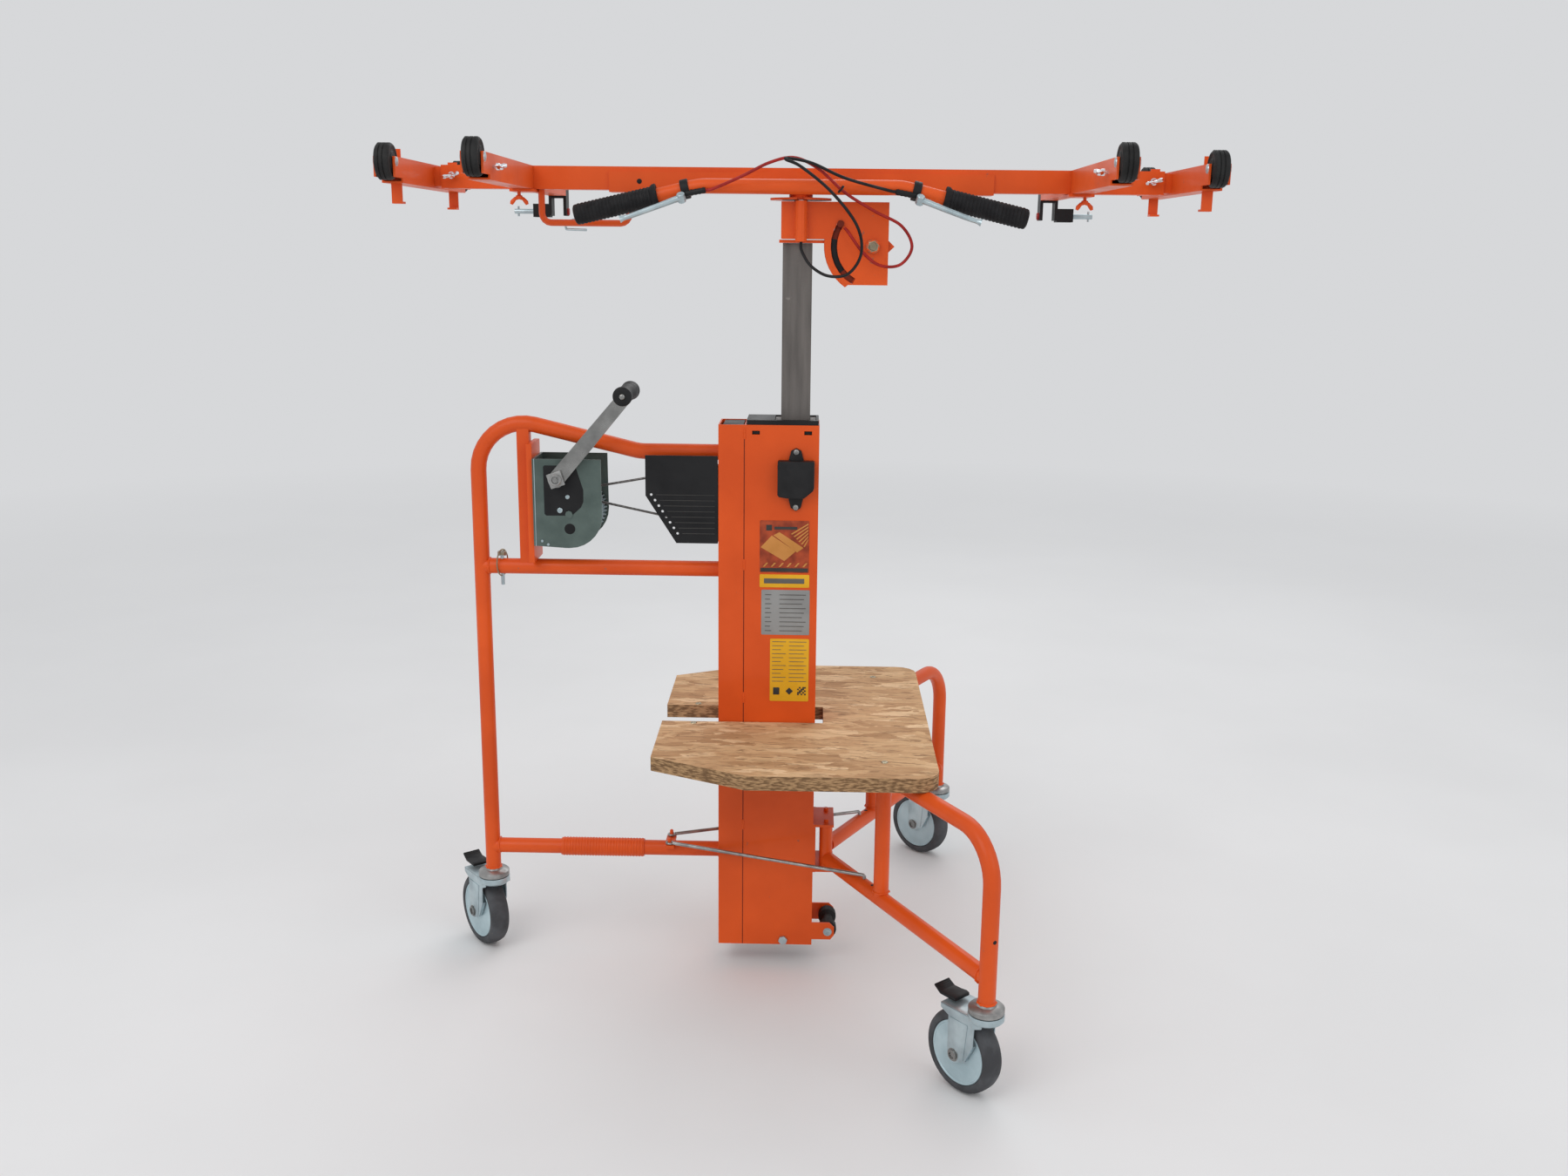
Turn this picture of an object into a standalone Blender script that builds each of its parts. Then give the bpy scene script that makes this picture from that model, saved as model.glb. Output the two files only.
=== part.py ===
"""Drywall lift: a wheeled telescopic mast with a hand winch and a tilting, swivelling board table.

+Z is up and +X runs along the rear beam towards the folding legs. The dimensions below are measured
from a point on the floor under the middle of the mast housing. At the end everything is shifted so
the origin is the middle of the underside of the whole lift. Units are metres.
"""
import math

import bmesh
import bpy
from mathutils import Matrix, Vector

# Clearances
TOUCH = 0.0003
RUN = 0.0003

# Mast housing and telescopic sections
HOUSING_LENGTH = 0.157
HOUSING_DEPTH = 0.080
HOUSING_BOTTOM = 0.038
HOUSING_TOP = 0.915
SHEET = 0.0025
WEB_X = -0.038
MAST_X = 0.041
MID_WIDTH = 0.063
INNER_WIDTH = 0.045
MID_BOTTOM = 0.045
MID_TOP = 0.9205
INNER_BOTTOM = 0.060
INNER_TOP = 1.1897

# Frame tubes and legs
TUBE_RADIUS = 0.0125
REAR_X = -0.464
POST_BOTTOM = 0.1506
LOW_BEAM_Z = 0.192
CROSS_Z = 0.677
TOP_TUBE_Z = 0.8665
HINGE_X = 0.100
HINGE_Y = 0.025
LEG_FOOT_X = 0.324
LEG_FOOT_Y = 0.426
LEG_LOW_Z = 0.190
LEG_TOP_Z = 0.397
LEG_BEND = 0.070
STRUT_S = 0.175
STUD_X = -0.162
STUD_Y = 0.018
STAY_S = 0.125
STAY_Z = 0.2090

# Castors
WHEEL_RADIUS = 0.0625
WHEEL_HALF = 0.017
TRAIL = 0.038
CASTOR_AXLE = 0.004
CASTOR_TURN = {"rear": 51.0, "near": 49.0, "far": 43.0}

# Shelf board
SHELF_TOP = 0.432
SHELF_THICK = 0.022

# Winch
WINCH_X = -0.314
WINCH_Z = 0.7702
SHAFT_X = -0.3305
SHAFT_Z = 0.8279
MODULE = 0.002
DRUM_TEETH = 48
PINION_TEETH = 12
PULLEY_X = -0.057
PULLEY_Z = 0.8335
GRIP_X = -0.2117
GRIP_Z = 0.968
WINCH_HALF = 0.040

# Head
HEAD_X = 0.045
PIVOT_X = 0.1547
PIVOT_Z = 1.1858
SECTOR_RADIUS = 0.0735
SLOT_RADIUS = 0.059
FRAME_OUT = 0.034
FRAME_IN = 0.030
POST_Y = -0.0422

# Table
BEAM_BOTTOM = 1.2655
BEAM_HEIGHT = 0.034
BEAM_WIDTH = 0.031
BEAM_HALF = 0.545
CHANNEL_HALF = 0.290
ARM_WIDTH = 0.030
OUTER_ARM = 0.571
INNER_ARM = 0.420
OUTER_REACH = 0.214
INNER_REACH = 0.344
INNER_FAR = 0.276
PAD_RADIUS = 0.025
PAD_HALF = 0.011
PAD_Z = 1.293
STOP_Y = 0.165
BAR_RADIUS = 0.011
BAR_Y = -0.060
BAR_Z = 1.2705
BAR_BEND = 0.150
BAR_END = 0.332
BAR_DROP = 0.235
GRIP_START = 0.212
LEVER_S = 0.178

ORANGE = ((0.80, 0.16, 0.02), 0.40, 0.0)
DARK_GREY = ((0.13, 0.12, 0.11), 0.55, 0.3)
BLACK = ((0.02, 0.02, 0.02), 0.55, 0.0)
RUBBER = ((0.06, 0.06, 0.06), 0.80, 0.0)
ZINC = ((0.60, 0.64, 0.66), 0.35, 0.9)
WINCH_GREEN = ((0.25, 0.29, 0.27), 0.40, 0.6)
WOOD = ((0.55, 0.37, 0.20), 0.75, 0.0)
RED = ((0.45, 0.02, 0.02), 0.45, 0.0)

PARTS = None


# ---------------------------------------------------------------- shape tools
def clear_scene():
    for item in list(bpy.data.objects):
        bpy.data.objects.remove(item)


def link(mesh, name="piece"):
    piece = bpy.data.objects.new(name, mesh)
    PARTS.objects.link(piece)
    return piece


def evaluated_mesh(piece):
    bpy.context.view_layer.update()
    depsgraph = bpy.context.evaluated_depsgraph_get()
    mesh = bpy.data.meshes.new_from_object(piece.evaluated_get(depsgraph))
    return mesh


def tidy_mesh(mesh):
    work = bmesh.new()
    work.from_mesh(mesh)
    bmesh.ops.remove_doubles(work, verts=work.verts, dist=0.00002)
    bmesh.ops.recalc_face_normals(work, faces=work.faces)
    work.to_mesh(mesh)
    work.free()
    return mesh


def box(low, high):
    work = bmesh.new()
    bmesh.ops.create_cube(work, size=1.0)
    size = [high[i] - low[i] for i in range(3)]
    centre = [(high[i] + low[i]) / 2 for i in range(3)]
    bmesh.ops.scale(work, vec=size, verts=work.verts)
    bmesh.ops.translate(work, vec=centre, verts=work.verts)
    mesh = bpy.data.meshes.new("box")
    work.to_mesh(mesh)
    work.free()
    return link(mesh)


def rod(start, end, radius, sides=12):
    """A solid cylinder between two points."""
    start = Vector(start)
    line = Vector(end) - start
    work = bmesh.new()
    bmesh.ops.create_cone(work, cap_ends=True, segments=sides, radius1=radius, radius2=radius,
                          depth=line.length)
    turn = Vector((0, 0, 1)).rotation_difference(line.normalized()).to_matrix().to_4x4()
    place = Matrix.Translation(start + line / 2) @ turn
    bmesh.ops.transform(work, matrix=place, verts=work.verts)
    mesh = bpy.data.meshes.new("rod")
    work.to_mesh(mesh)
    work.free()
    return link(mesh)


def turned(profile, start, direction, sides=20):
    """Turn a closed profile of (radius, height) points about a line."""
    mesh = bpy.data.meshes.new("profile")
    points = [(radius, 0, height) for radius, height in profile]
    edges = [(i, (i + 1) % len(points)) for i in range(len(points))]
    mesh.from_pydata(points, edges, [])
    piece = link(mesh)
    screw = piece.modifiers.new("turn", "SCREW")
    screw.steps = sides
    screw.render_steps = sides
    screw.use_merge_vertices = True
    screw.merge_threshold = 0.00001
    solid = tidy_mesh(evaluated_mesh(piece))
    bpy.data.objects.remove(piece)
    turn = Vector((0, 0, 1)).rotation_difference(Vector(direction).normalized()).to_matrix()
    solid.transform(Matrix.Translation(start) @ turn.to_4x4())
    return link(solid)


def ring(start, end, outer, inner, sides=16):
    line = Vector(end) - Vector(start)
    profile = [(inner, 0), (outer, 0), (outer, line.length), (inner, line.length)]
    return turned(profile, start, line, sides)


def curve_piece(splines, flat, depth, resolution):
    data = bpy.data.curves.new("line", "CURVE")
    data.dimensions = "2D" if flat else "3D"
    for points, closed in splines:
        spline = data.splines.new("POLY")
        spline.points.add(len(points) - 1)
        for target, point in zip(spline.points, points):
            target.co = (*point, 1) if len(point) == 3 else (*point, 0, 1)
        spline.use_cyclic_u = closed
    if flat:
        data.fill_mode = "BOTH"
        data.extrude = depth
    else:
        data.bevel_depth = depth
        data.bevel_resolution = resolution
        data.use_fill_caps = True
    piece = bpy.data.objects.new("line", data)
    PARTS.objects.link(piece)
    mesh = tidy_mesh(evaluated_mesh(piece))
    bpy.data.objects.remove(piece)
    return link(mesh)


def pipe(points, radius, resolution=3):
    return curve_piece([(points, False)], False, radius, resolution)


def plate(outline, holes, low, high):
    """A flat sheet standing in the XZ plane between y = low and y = high."""
    splines = [(outline, True)] + [(hole, True) for hole in holes]
    sheet = curve_piece(splines, True, (high - low) / 2, 0)
    stand = Matrix(((1, 0, 0, 0), (0, 0, -1, (low + high) / 2), (0, 1, 0, 0), (0, 0, 0, 1)))
    sheet.data.transform(stand)
    return sheet


def board(outline, low, high):
    """A flat sheet lying between z = low and z = high."""
    sheet = curve_piece([(outline, True)], True, (high - low) / 2, 0)
    sheet.data.transform(Matrix.Translation((0, 0, (low + high) / 2)))
    return sheet


def boolean(target, tool, operation):
    change = target.modifiers.new("change", "BOOLEAN")
    change.object = tool
    change.operation = operation
    mesh = evaluated_mesh(target)
    target.modifiers.clear()
    target.data = mesh
    bpy.data.objects.remove(tool)
    return target


def join(first, *others):
    for other in others:
        boolean(first, other, "UNION")
    return first


def cut(target, *tools):
    for tool in tools:
        boolean(target, tool, "DIFFERENCE")
    return target


def moved(piece, matrix):
    piece.data.transform(matrix)
    return piece


def mirrored(piece):
    """Mirror a piece across the plane x = HEAD_X, through the middle of the table."""
    flip = Matrix.Translation((2 * HEAD_X, 0, 0)) @ Matrix.Scale(-1, 4, (1, 0, 0))
    piece.data.transform(flip)
    piece.data.flip_normals()
    return piece


def finish(piece, name, finish_values, pivot=None):
    """Name a piece, give it its own material and put its origin on its joint."""
    colour, roughness, metallic = finish_values
    piece.name = name
    piece.data.name = name
    material = bpy.data.materials.new(name)
    material.use_nodes = True
    shader = material.node_tree.nodes["Principled BSDF"]
    shader.inputs["Base Color"].default_value = (*colour, 1)
    shader.inputs["Roughness"].default_value = roughness
    shader.inputs["Metallic"].default_value = metallic
    piece.data.materials.clear()
    piece.data.materials.append(material)
    tidy_mesh(piece.data)
    piece.data.shade_smooth()
    piece.data.set_sharp_from_angle(angle=math.radians(35))
    if pivot is not None:
        piece.data.transform(Matrix.Translation(-Vector(pivot)))
        piece.location = pivot
    return piece


def circle(centre, radius, count, start=0.0):
    points = []
    for i in range(count):
        angle = start + math.tau * i / count
        points.append((centre[0] + radius * math.cos(angle), centre[1] + radius * math.sin(angle)))
    return points


def arc(centre, radius, first, last, count):
    """Points on an arc between two angles in degrees."""
    points = []
    for i in range(count + 1):
        angle = math.radians(first + (last - first) * i / count)
        points.append((centre[0] + radius * math.cos(angle), centre[1] + radius * math.sin(angle)))
    return points


def rounded(points, radius, steps=5):
    """Replace each inner corner of a path by an arc of the given radius."""
    path = [Vector(points[0])]
    for before, corner, after in zip(points, points[1:], points[2:]):
        corner = Vector(corner)
        back = (Vector(before) - corner).normalized()
        ahead = (Vector(after) - corner).normalized()
        half = back.angle(ahead) / 2
        reach = radius / math.tan(half)
        centre = corner + (back + ahead).normalized() * (radius / math.sin(half))
        first = corner + back * reach - centre
        last = corner + ahead * reach - centre
        sweep = first.angle(last)
        for i in range(steps + 1):
            share = i / steps
            side = (first * math.sin((1 - share) * sweep) + last * math.sin(share * sweep))
            path.append(centre + side / math.sin(sweep))
    path.append(Vector(points[-1]))
    return [tuple(point) for point in path]


def smooth_route(points, per_span):
    """A smooth curve through hand-placed points."""
    ends = [Vector(point) for point in points]
    ends = [2 * ends[0] - ends[1]] + ends + [2 * ends[-1] - ends[-2]]
    route = []
    for a, b, c, d in zip(ends, ends[1:], ends[2:], ends[3:]):
        for i in range(per_span):
            t = i / per_span
            route.append(tuple(0.5 * (2 * b + (c - a) * t + (2 * a - 5 * b + 4 * c - d) * t ** 2
                                      + (3 * b - a - 3 * c + d) * t ** 3)))
    route.append(tuple(ends[-2]))
    return route


# ---------------------------------------------------------------- mast
def square_tube(low, high, wall, axis):
    """A square tube open at both ends along one axis."""
    inner_low = [value + wall for value in low]
    inner_high = [value - wall for value in high]
    inner_low[axis] = low[axis] - 0.01
    inner_high[axis] = high[axis] + 0.01
    return cut(box(low, high), box(inner_low, inner_high))


def make_housing():
    half = HOUSING_LENGTH / 2
    deep = HOUSING_DEPTH / 2
    housing = box((-half, -deep, HOUSING_BOTTOM), (half, deep, HOUSING_TOP))
    front = box((WEB_X + SHEET, -deep + SHEET, 0), (half - SHEET, deep - SHEET, 1))
    rear = box((-half + SHEET, -deep + SHEET, 0), (WEB_X, deep - SHEET, 1))
    upper_rope_slot = box((-half - 0.01, -0.006, 0.828), (-half + 0.01, 0.006, 0.862))
    lower_rope_slot = box((-half - 0.01, -0.006, 0.722), (-half + 0.01, 0.006, 0.762))
    cut(housing, front, rear, upper_rope_slot, lower_rope_slot)
    for x in (-0.020, 0.061):
        cut(housing, box((x - 0.006, -0.05, 0.900), (x + 0.006, 0.05, 0.906)))
    add_roller_bracket(housing, half)
    add_leg_bracket(housing, half)
    add_pulley_axle(housing, deep)
    finish(housing, "mast_housing", ORANGE)


def add_roller_bracket(housing, face):
    ears = [(face - 0.001, 0.048), (0.110, 0.048), (0.116, 0.056), (0.116, 0.070), (0.108, 0.078),
            (face - 0.001, 0.078)]
    for side in (-1, 1):
        low, high = sorted((side * 0.0365, side * 0.0395))
        join(housing, plate(ears, [], low, high))
    join(housing, rod((0.105, -0.038, 0.062), (0.105, 0.038, 0.062), 0.004, 8))


def add_pulley_axle(housing, deep):
    join(housing, rod((PULLEY_X, -deep + 0.001, PULLEY_Z), (PULLEY_X, deep - 0.001, PULLEY_Z), 0.004, 8))


def make_skid_rollers():
    bore = 0.004 + RUN
    profile = [(bore, -0.034), (0.012, -0.034), (0.015, -0.031), (0.015, -0.016), (0.009, -0.012),
               (0.009, 0.012), (0.015, 0.016), (0.015, 0.031), (0.012, 0.034), (bore, 0.034)]
    centre = (0.105, 0, 0.062)
    finish(turned(profile, centre, (0, 1, 0), 14), "skid_rollers", RUBBER, centre)


def make_rope_pulley():
    bore = 0.004 + RUN
    profile = [(bore, -0.006), (0.016, -0.006), (0.013, -0.002), (0.013, 0.002), (0.016, 0.006),
               (bore, 0.006)]
    centre = (PULLEY_X, 0, PULLEY_Z)
    finish(turned(profile, centre, (0, 1, 0), 14), "rope_pulley", DARK_GREY, centre)


def make_top_guide():
    half = MID_WIDTH / 2 + 0.0006
    guide = box((-0.0345, -0.0397, HOUSING_TOP + TOUCH), (0.0772, 0.0397, 0.9225))
    cut(guide, box((MAST_X - half, -half, 0.9), (MAST_X + half, half, 1.0)))
    finish(guide, "mast_top_guide", BLACK)


def make_mid_section():
    half = MID_WIDTH / 2
    hollow = half - SHEET
    collar = INNER_WIDTH / 2 + 0.0005
    section = box((MAST_X - half, -half, MID_BOTTOM), (MAST_X + half, half, MID_TOP))
    cut(section, box((MAST_X - hollow, -hollow, 0), (MAST_X + hollow, hollow, MID_TOP - 0.015)))
    cut(section, box((MAST_X - collar, -collar, 0.8), (MAST_X + collar, collar, 1.0)))
    finish(section, "mast_mid", DARK_GREY, (MAST_X, 0, MID_BOTTOM))


def make_inner_section():
    half = INNER_WIDTH / 2
    low = (MAST_X - half, -half, INNER_BOTTOM)
    high = (MAST_X + half, half, INNER_TOP)
    finish(square_tube(low, high, SHEET, 2), "mast_inner", DARK_GREY, (MAST_X, 0, INNER_BOTTOM))


def make_pulley_cover():
    face = -HOUSING_DEPTH / 2 - TOUCH
    body = [(0.0144, 0.812), (0.026, 0.8012), (0.060, 0.8012), (0.0716, 0.812), (0.0716, 0.861),
            (0.0144, 0.861)]
    tabs = [(0.035, 0.786), (0.043, 0.781), (0.051, 0.786), (0.055, 0.803), (0.055, 0.860),
            (0.051, 0.876), (0.043, 0.880), (0.035, 0.876), (0.031, 0.860), (0.031, 0.803)]
    cover = plate(body, [], face - 0.018, face)
    join(cover, plate(tabs, [], face - 0.004, face - 0.0001))
    finish(cover, "pulley_cover", BLACK)


# ---------------------------------------------------------------- rear frame
def add_castor_head(piece, x, y):
    return join(piece, rod((x, y, 0.1380), (x, y, POST_BOTTOM + 0.001), 0.026, 16))


def make_rear_frame():
    end = -HOUSING_LENGTH / 2 - TOUCH
    corner_z = 0.9285
    path = rounded([(REAR_X, 0, POST_BOTTOM), (REAR_X, 0, corner_z), (-0.205, 0, TOP_TUBE_Z),
                    (end, 0, TOP_TUBE_Z)], 0.075)
    frame = pipe(path, TUBE_RADIUS)
    join(frame, rod((REAR_X, 0, LOW_BEAM_Z), (end, 0, LOW_BEAM_Z), TUBE_RADIUS, 10))
    join(frame, rod((REAR_X, 0, CROSS_Z), (end, 0, CROSS_Z), TUBE_RADIUS, 10))
    join(frame, box((-0.400, -0.010, CROSS_Z), (-0.380, 0.010, 0.905)))
    join(frame, box((-0.3805, -0.035, 0.690), (-0.3715, 0.035, 0.880)))
    join(frame, rod((-0.346, 0, LOW_BEAM_Z + 0.001), (-0.206, 0, LOW_BEAM_Z + 0.001), 0.0155, 12))
    join(frame, box((STUD_X - 0.008, -0.024, 0.200), (STUD_X + 0.008, 0.024, 0.2060)))
    for side in (-1, 1):
        y = side * STUD_Y
        join(frame, rod((STUD_X, y, 0.205), (STUD_X, y, 0.217), 0.003, 8))
    add_castor_head(frame, REAR_X, 0)
    cut(frame, rod((-0.431, 0, 0.65), (-0.431, 0, 0.70), 0.0034, 8))
    finish(frame, "rear_frame", ORANGE)


def make_lock_pin():
    pin = rod((-0.431, 0, 0.646), (-0.431, 0, 0.6955), 0.003, 8)
    join(pin, rod((-0.431, 0, 0.6955 - 0.001), (-0.431, 0, 0.701), 0.007, 10))
    finish(pin, "lock_pin", ZINC, (-0.431, 0, 0.701))


def make_guard_plate():
    end = -HOUSING_LENGTH / 2 - 0.001
    outline = [(-0.193, 0.8655), (-0.193, 0.802), (-0.145, 0.7265), (end, 0.7265), (end, 0.8655)]
    holes = []
    for i in range(8):
        share = i / 7
        holes.append(circle((-0.184 + 0.041 * share, 0.8035 - 0.0615 * share), 0.0022, 6))
    guard = plate(outline, holes, -0.0400, -0.0380)
    join(guard, box((end - 0.003, -0.0395, 0.7275), (end, -0.018, 0.8500)))
    finish(guard, "guard_plate", BLACK)


# ---------------------------------------------------------------- shelf
def make_shelf():
    left, neck, right = -0.170, -0.024, 0.262
    side, edge, slot = 0.214, 0.289, 0.042
    corner = 0.035
    near = [(0.092, -slot), (left, -slot), (left, -side), (neck, -edge)]
    near += arc((right - corner, -edge + corner), corner, -90, 0, 4)
    far = [(x, -y) for x, y in reversed(near)]
    shelf = board(near + far, SHELF_TOP - SHELF_THICK, SHELF_TOP)
    finish(shelf, "shelf_board", WOOD)


# ---------------------------------------------------------------- legs
def add_leg_bracket(housing, face):
    join(housing, box((face - 0.001, -0.0395, 0.170), (face + 0.004, 0.0395, 0.2545)))
    for low in (0.1705, 0.2500):
        join(housing, box((face - 0.001, -0.0395, low), (0.1125, 0.0395, low + 0.004)))
    for side in (-1, 1):
        y = side * HINGE_Y
        join(housing, rod((HINGE_X, y, 0.166), (HINGE_X, y, 0.259), 0.004, 8))


def make_leg(name, side):
    pin = Vector((HINGE_X, side * HINGE_Y, 0))
    foot = Vector((LEG_FOOT_X, side * LEG_FOOT_Y, 0))
    along = (foot - pin).normalized()
    reach = (foot - pin).length

    def at(distance, height):
        point = pin + along * distance
        return (point.x, point.y, height)

    path = rounded([at(0.145, LEG_TOP_Z), at(reach, LEG_TOP_Z), at(reach, POST_BOTTOM)], LEG_BEND)
    leg = pipe(path, TUBE_RADIUS)
    join(leg, rod(at(0.008, LEG_LOW_Z), at(reach, LEG_LOW_Z), TUBE_RADIUS, 10))
    join(leg, rod(at(STRUT_S, LEG_LOW_Z), at(STRUT_S, LEG_TOP_Z), TUBE_RADIUS - 0.0005, 10))
    join(leg, rod(at(0, 0.1750), at(0, 0.2495), 0.0105, 12))
    add_castor_head(leg, foot.x, foot.y)
    cut(leg, rod(at(0, 0.10), at(0, 0.30), 0.004 + 2 * RUN, 12))
    finish(leg, name, ORANGE, at(0, LEG_LOW_Z))


def make_stay(name, side):
    pin = Vector((HINGE_X, side * HINGE_Y, 0))
    along = (Vector((LEG_FOOT_X, side * LEG_FOOT_Y, 0)) - pin).normalized()
    hook = pin + along * STAY_S
    stud = Vector((STUD_X, side * STUD_Y, STAY_Z))
    tip = Vector((hook.x, hook.y, STAY_Z))
    line = (tip - stud).normalized()
    stay = pipe([tuple(stud + line * 0.0045), tuple(tip)], 0.0028, 2)
    eye = ring(stud - Vector((0, 0, 0.0025)), stud + Vector((0, 0, 0.0025)), 0.0068, 0.0034, 12)
    join(stay, eye, rod((tip.x, tip.y, 0.2035), (tip.x, tip.y, STAY_Z + 0.002), 0.003, 8))
    finish(stay, name, ZINC, stud)


# ---------------------------------------------------------------- castors
def castor_place(x, y, turn):
    """Castor frame: +X trails behind the stem, +Y is the axle, z is the height above the floor."""
    return Matrix.Translation((x, y, 0)) @ Matrix.Rotation(math.radians(180 - turn), 4, "Z")


def make_fork(name, place):
    cheek = [(-0.016, 0.1345), (0.062, 0.1345), (0.061, 0.118)]
    cheek += arc((TRAIL, 0.0625), 0.013, 5, -160, 6)
    cheek += [(-0.016, 0.118)]
    fork = box((-0.018, -0.0235, 0.1315), (0.062, 0.0235, 0.1345))
    join(fork, rod((0, 0, 0.1320), (0, 0, 0.1377), 0.0255, 16))
    for side in (-1, 1):
        low, high = sorted((side * 0.0210, side * 0.0235))
        join(fork, plate(cheek, [], low, high))
    axle_z = WHEEL_RADIUS
    join(fork, rod((TRAIL, -0.0225, axle_z), (TRAIL, 0.0225, axle_z), CASTOR_AXLE, 8))
    for side in (-1, 1):
        join(fork, rod((TRAIL, side * 0.0230, axle_z), (TRAIL, side * 0.0275, axle_z), 0.007, 6))
    moved(fork, place)
    finish(fork, name, ZINC, place @ Vector((0, 0, 0.1377)))


def make_wheel(name, place):
    half = WHEEL_HALF
    bore = CASTOR_AXLE + RUN
    upper = [(0.0625, 0.010), (0.0570, half), (0.0490, half), (0.0460, 0.0135), (0.0140, 0.0135),
             (0.0120, 0.0195), (bore, 0.0195)]
    profile = [(radius, -height) for radius, height in reversed(upper)] + upper
    centre = place @ Vector((TRAIL, 0, WHEEL_RADIUS))
    axle = place.to_3x3() @ Vector((0, 1, 0))
    finish(turned(profile, centre, axle, 20), name, RUBBER, centre)


def make_pedal(name, place):
    shape = [(0.047, 0.1390), (0.0785, 0.1390), (0.088, 0.1475), (0.086, 0.1500), (0.076, 0.1430),
             (0.047, 0.1430)]
    pedal = plate(shape, [], -0.016, 0.016)
    moved(pedal, place)
    finish(pedal, name, BLACK, place @ Vector((0.054, 0, 0.1410)))


def make_castors():
    spots = {"rear": (REAR_X, 0), "near": (LEG_FOOT_X, -LEG_FOOT_Y), "far": (LEG_FOOT_X, LEG_FOOT_Y)}
    for name, (x, y) in spots.items():
        place = castor_place(x, y, CASTOR_TURN[name])
        make_fork(name + "_castor_fork", place)
        make_wheel(name + "_castor_wheel", place)
        make_pedal(name + "_brake_pedal", place)


# ---------------------------------------------------------------- winch
def involute(angle):
    return math.tan(angle) - angle


def gear_outline(teeth, turn):
    """Involute outline with a little backlash."""
    pitch = MODULE * teeth / 2
    tip = pitch + 0.80 * MODULE
    root = pitch - 1.15 * MODULE
    base = pitch * math.cos(math.radians(20))
    half_tooth = 0.86 * math.pi / (2 * teeth) + involute(math.radians(20))
    radii = [root, tip]
    outline = []
    for tooth in range(teeth):
        middle = turn + math.tau * tooth / teeth
        half_angles = []
        for radius in radii:
            pressure = math.acos(min(1.0, base / max(radius, base)))
            half_angles.append(half_tooth - involute(pressure))
        flank = list(zip(radii, half_angles))
        for radius, half in flank:
            outline.append((radius * math.cos(middle - half), radius * math.sin(middle - half)))
        for radius, half in reversed(flank):
            outline.append((radius * math.cos(middle + half), radius * math.sin(middle + half)))
    return outline


def gear(teeth, turn, x, z, low, high):
    outline = [(x + u, z + v) for u, v in gear_outline(teeth, turn)]
    return plate(outline, [], low, high)


def make_winch_frame():
    cheek = [(-0.3675, 0.7190), (-0.320, 0.7160)]
    cheek += arc((-0.314, 0.768), 0.052, -90, 0, 7)
    cheek += [(-0.2630, 0.8575), (-0.3675, 0.8575)]
    frame = box((-0.3708, -WINCH_HALF, 0.7190), (-0.3670, WINCH_HALF, 0.8575))
    shaft_hole = circle((SHAFT_X, SHAFT_Z), 0.007 + 2 * RUN, 14)
    for side in (-1, 1):
        low, high = sorted((side * 0.0375, side * WINCH_HALF))
        join(frame, plate(cheek, [shaft_hole], low, high))
    join(frame, rod((WINCH_X, -0.0425, WINCH_Z), (WINCH_X, 0.0425, WINCH_Z), 0.006, 8))
    finish(frame, "winch_frame", WINCH_GREEN)


def make_drum():
    bore = 0.006 + RUN
    profile = [(bore, -0.036), (0.043, -0.036), (0.043, -0.034), (0.022, -0.034), (0.022, 0.022),
               (0.043, 0.022), (0.043, 0.0275), (bore, 0.0275)]
    drum = turned(profile, (WINCH_X, 0, WINCH_Z), (0, 1, 0), 24)
    toward = math.atan2(SHAFT_Z - WINCH_Z, SHAFT_X - WINCH_X)
    wheel = gear(DRUM_TEETH, toward, WINCH_X, WINCH_Z, 0.0270, 0.0340)
    cut(wheel, rod((WINCH_X, 0.02, WINCH_Z), (WINCH_X, 0.04, WINCH_Z), 0.012, 12))
    finish(join(drum, wheel), "winch_drum", ZINC, (WINCH_X, 0, WINCH_Z))


def make_winch_shaft():
    toward = math.atan2(WINCH_Z - SHAFT_Z, WINCH_X - SHAFT_X)
    half_step = math.pi / PINION_TEETH
    shaft = gear(PINION_TEETH, toward + half_step, SHAFT_X, SHAFT_Z, 0.0275, 0.0335)
    join(shaft, rod((SHAFT_X, -0.0497, SHAFT_Z), (SHAFT_X, 0.0440, SHAFT_Z), 0.007, 10))
    finish(shaft, "winch_shaft", ZINC, (SHAFT_X, 0, SHAFT_Z))


def make_crank_arm():
    line = Vector((GRIP_X - SHAFT_X, 0, GRIP_Z - SHAFT_Z))
    length = line.length
    outline = arc((0, 0), 0.0145, 130, 230, 5) + arc((length, 0), 0.011, -80, 80, 5)
    arm = plate(outline, [], -0.0560, -0.0500)
    angle = math.atan2(line.z, line.x)
    moved(arm, Matrix.Translation((SHAFT_X, 0, SHAFT_Z)) @ Matrix.Rotation(-angle, 4, "Y"))
    join(arm, rod((SHAFT_X, -0.0660, SHAFT_Z), (SHAFT_X, -0.0550, SHAFT_Z), 0.0100, 6))
    join(arm, rod((GRIP_X, -0.1610, GRIP_Z), (GRIP_X, -0.0550, GRIP_Z), 0.0045, 8))
    join(arm, rod((GRIP_X, -0.1640, GRIP_Z), (GRIP_X, -0.1600, GRIP_Z), 0.0075, 10))
    finish(arm, "crank_arm", ZINC, (SHAFT_X, -0.053, SHAFT_Z))


def make_crank_grip():
    bore = 0.0045 + RUN
    profile = [(bore, 0), (0.0145, 0), (0.0145, 0.005), (0.0120, 0.010), (0.0130, 0.050),
               (0.0120, 0.088), (0.0145, 0.096), (0.0145, 0.1025), (bore, 0.1025)]
    start = (GRIP_X, -0.1595, GRIP_Z)
    finish(turned(profile, start, (0, 1, 0), 16), "crank_grip", BLACK, start)


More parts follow.
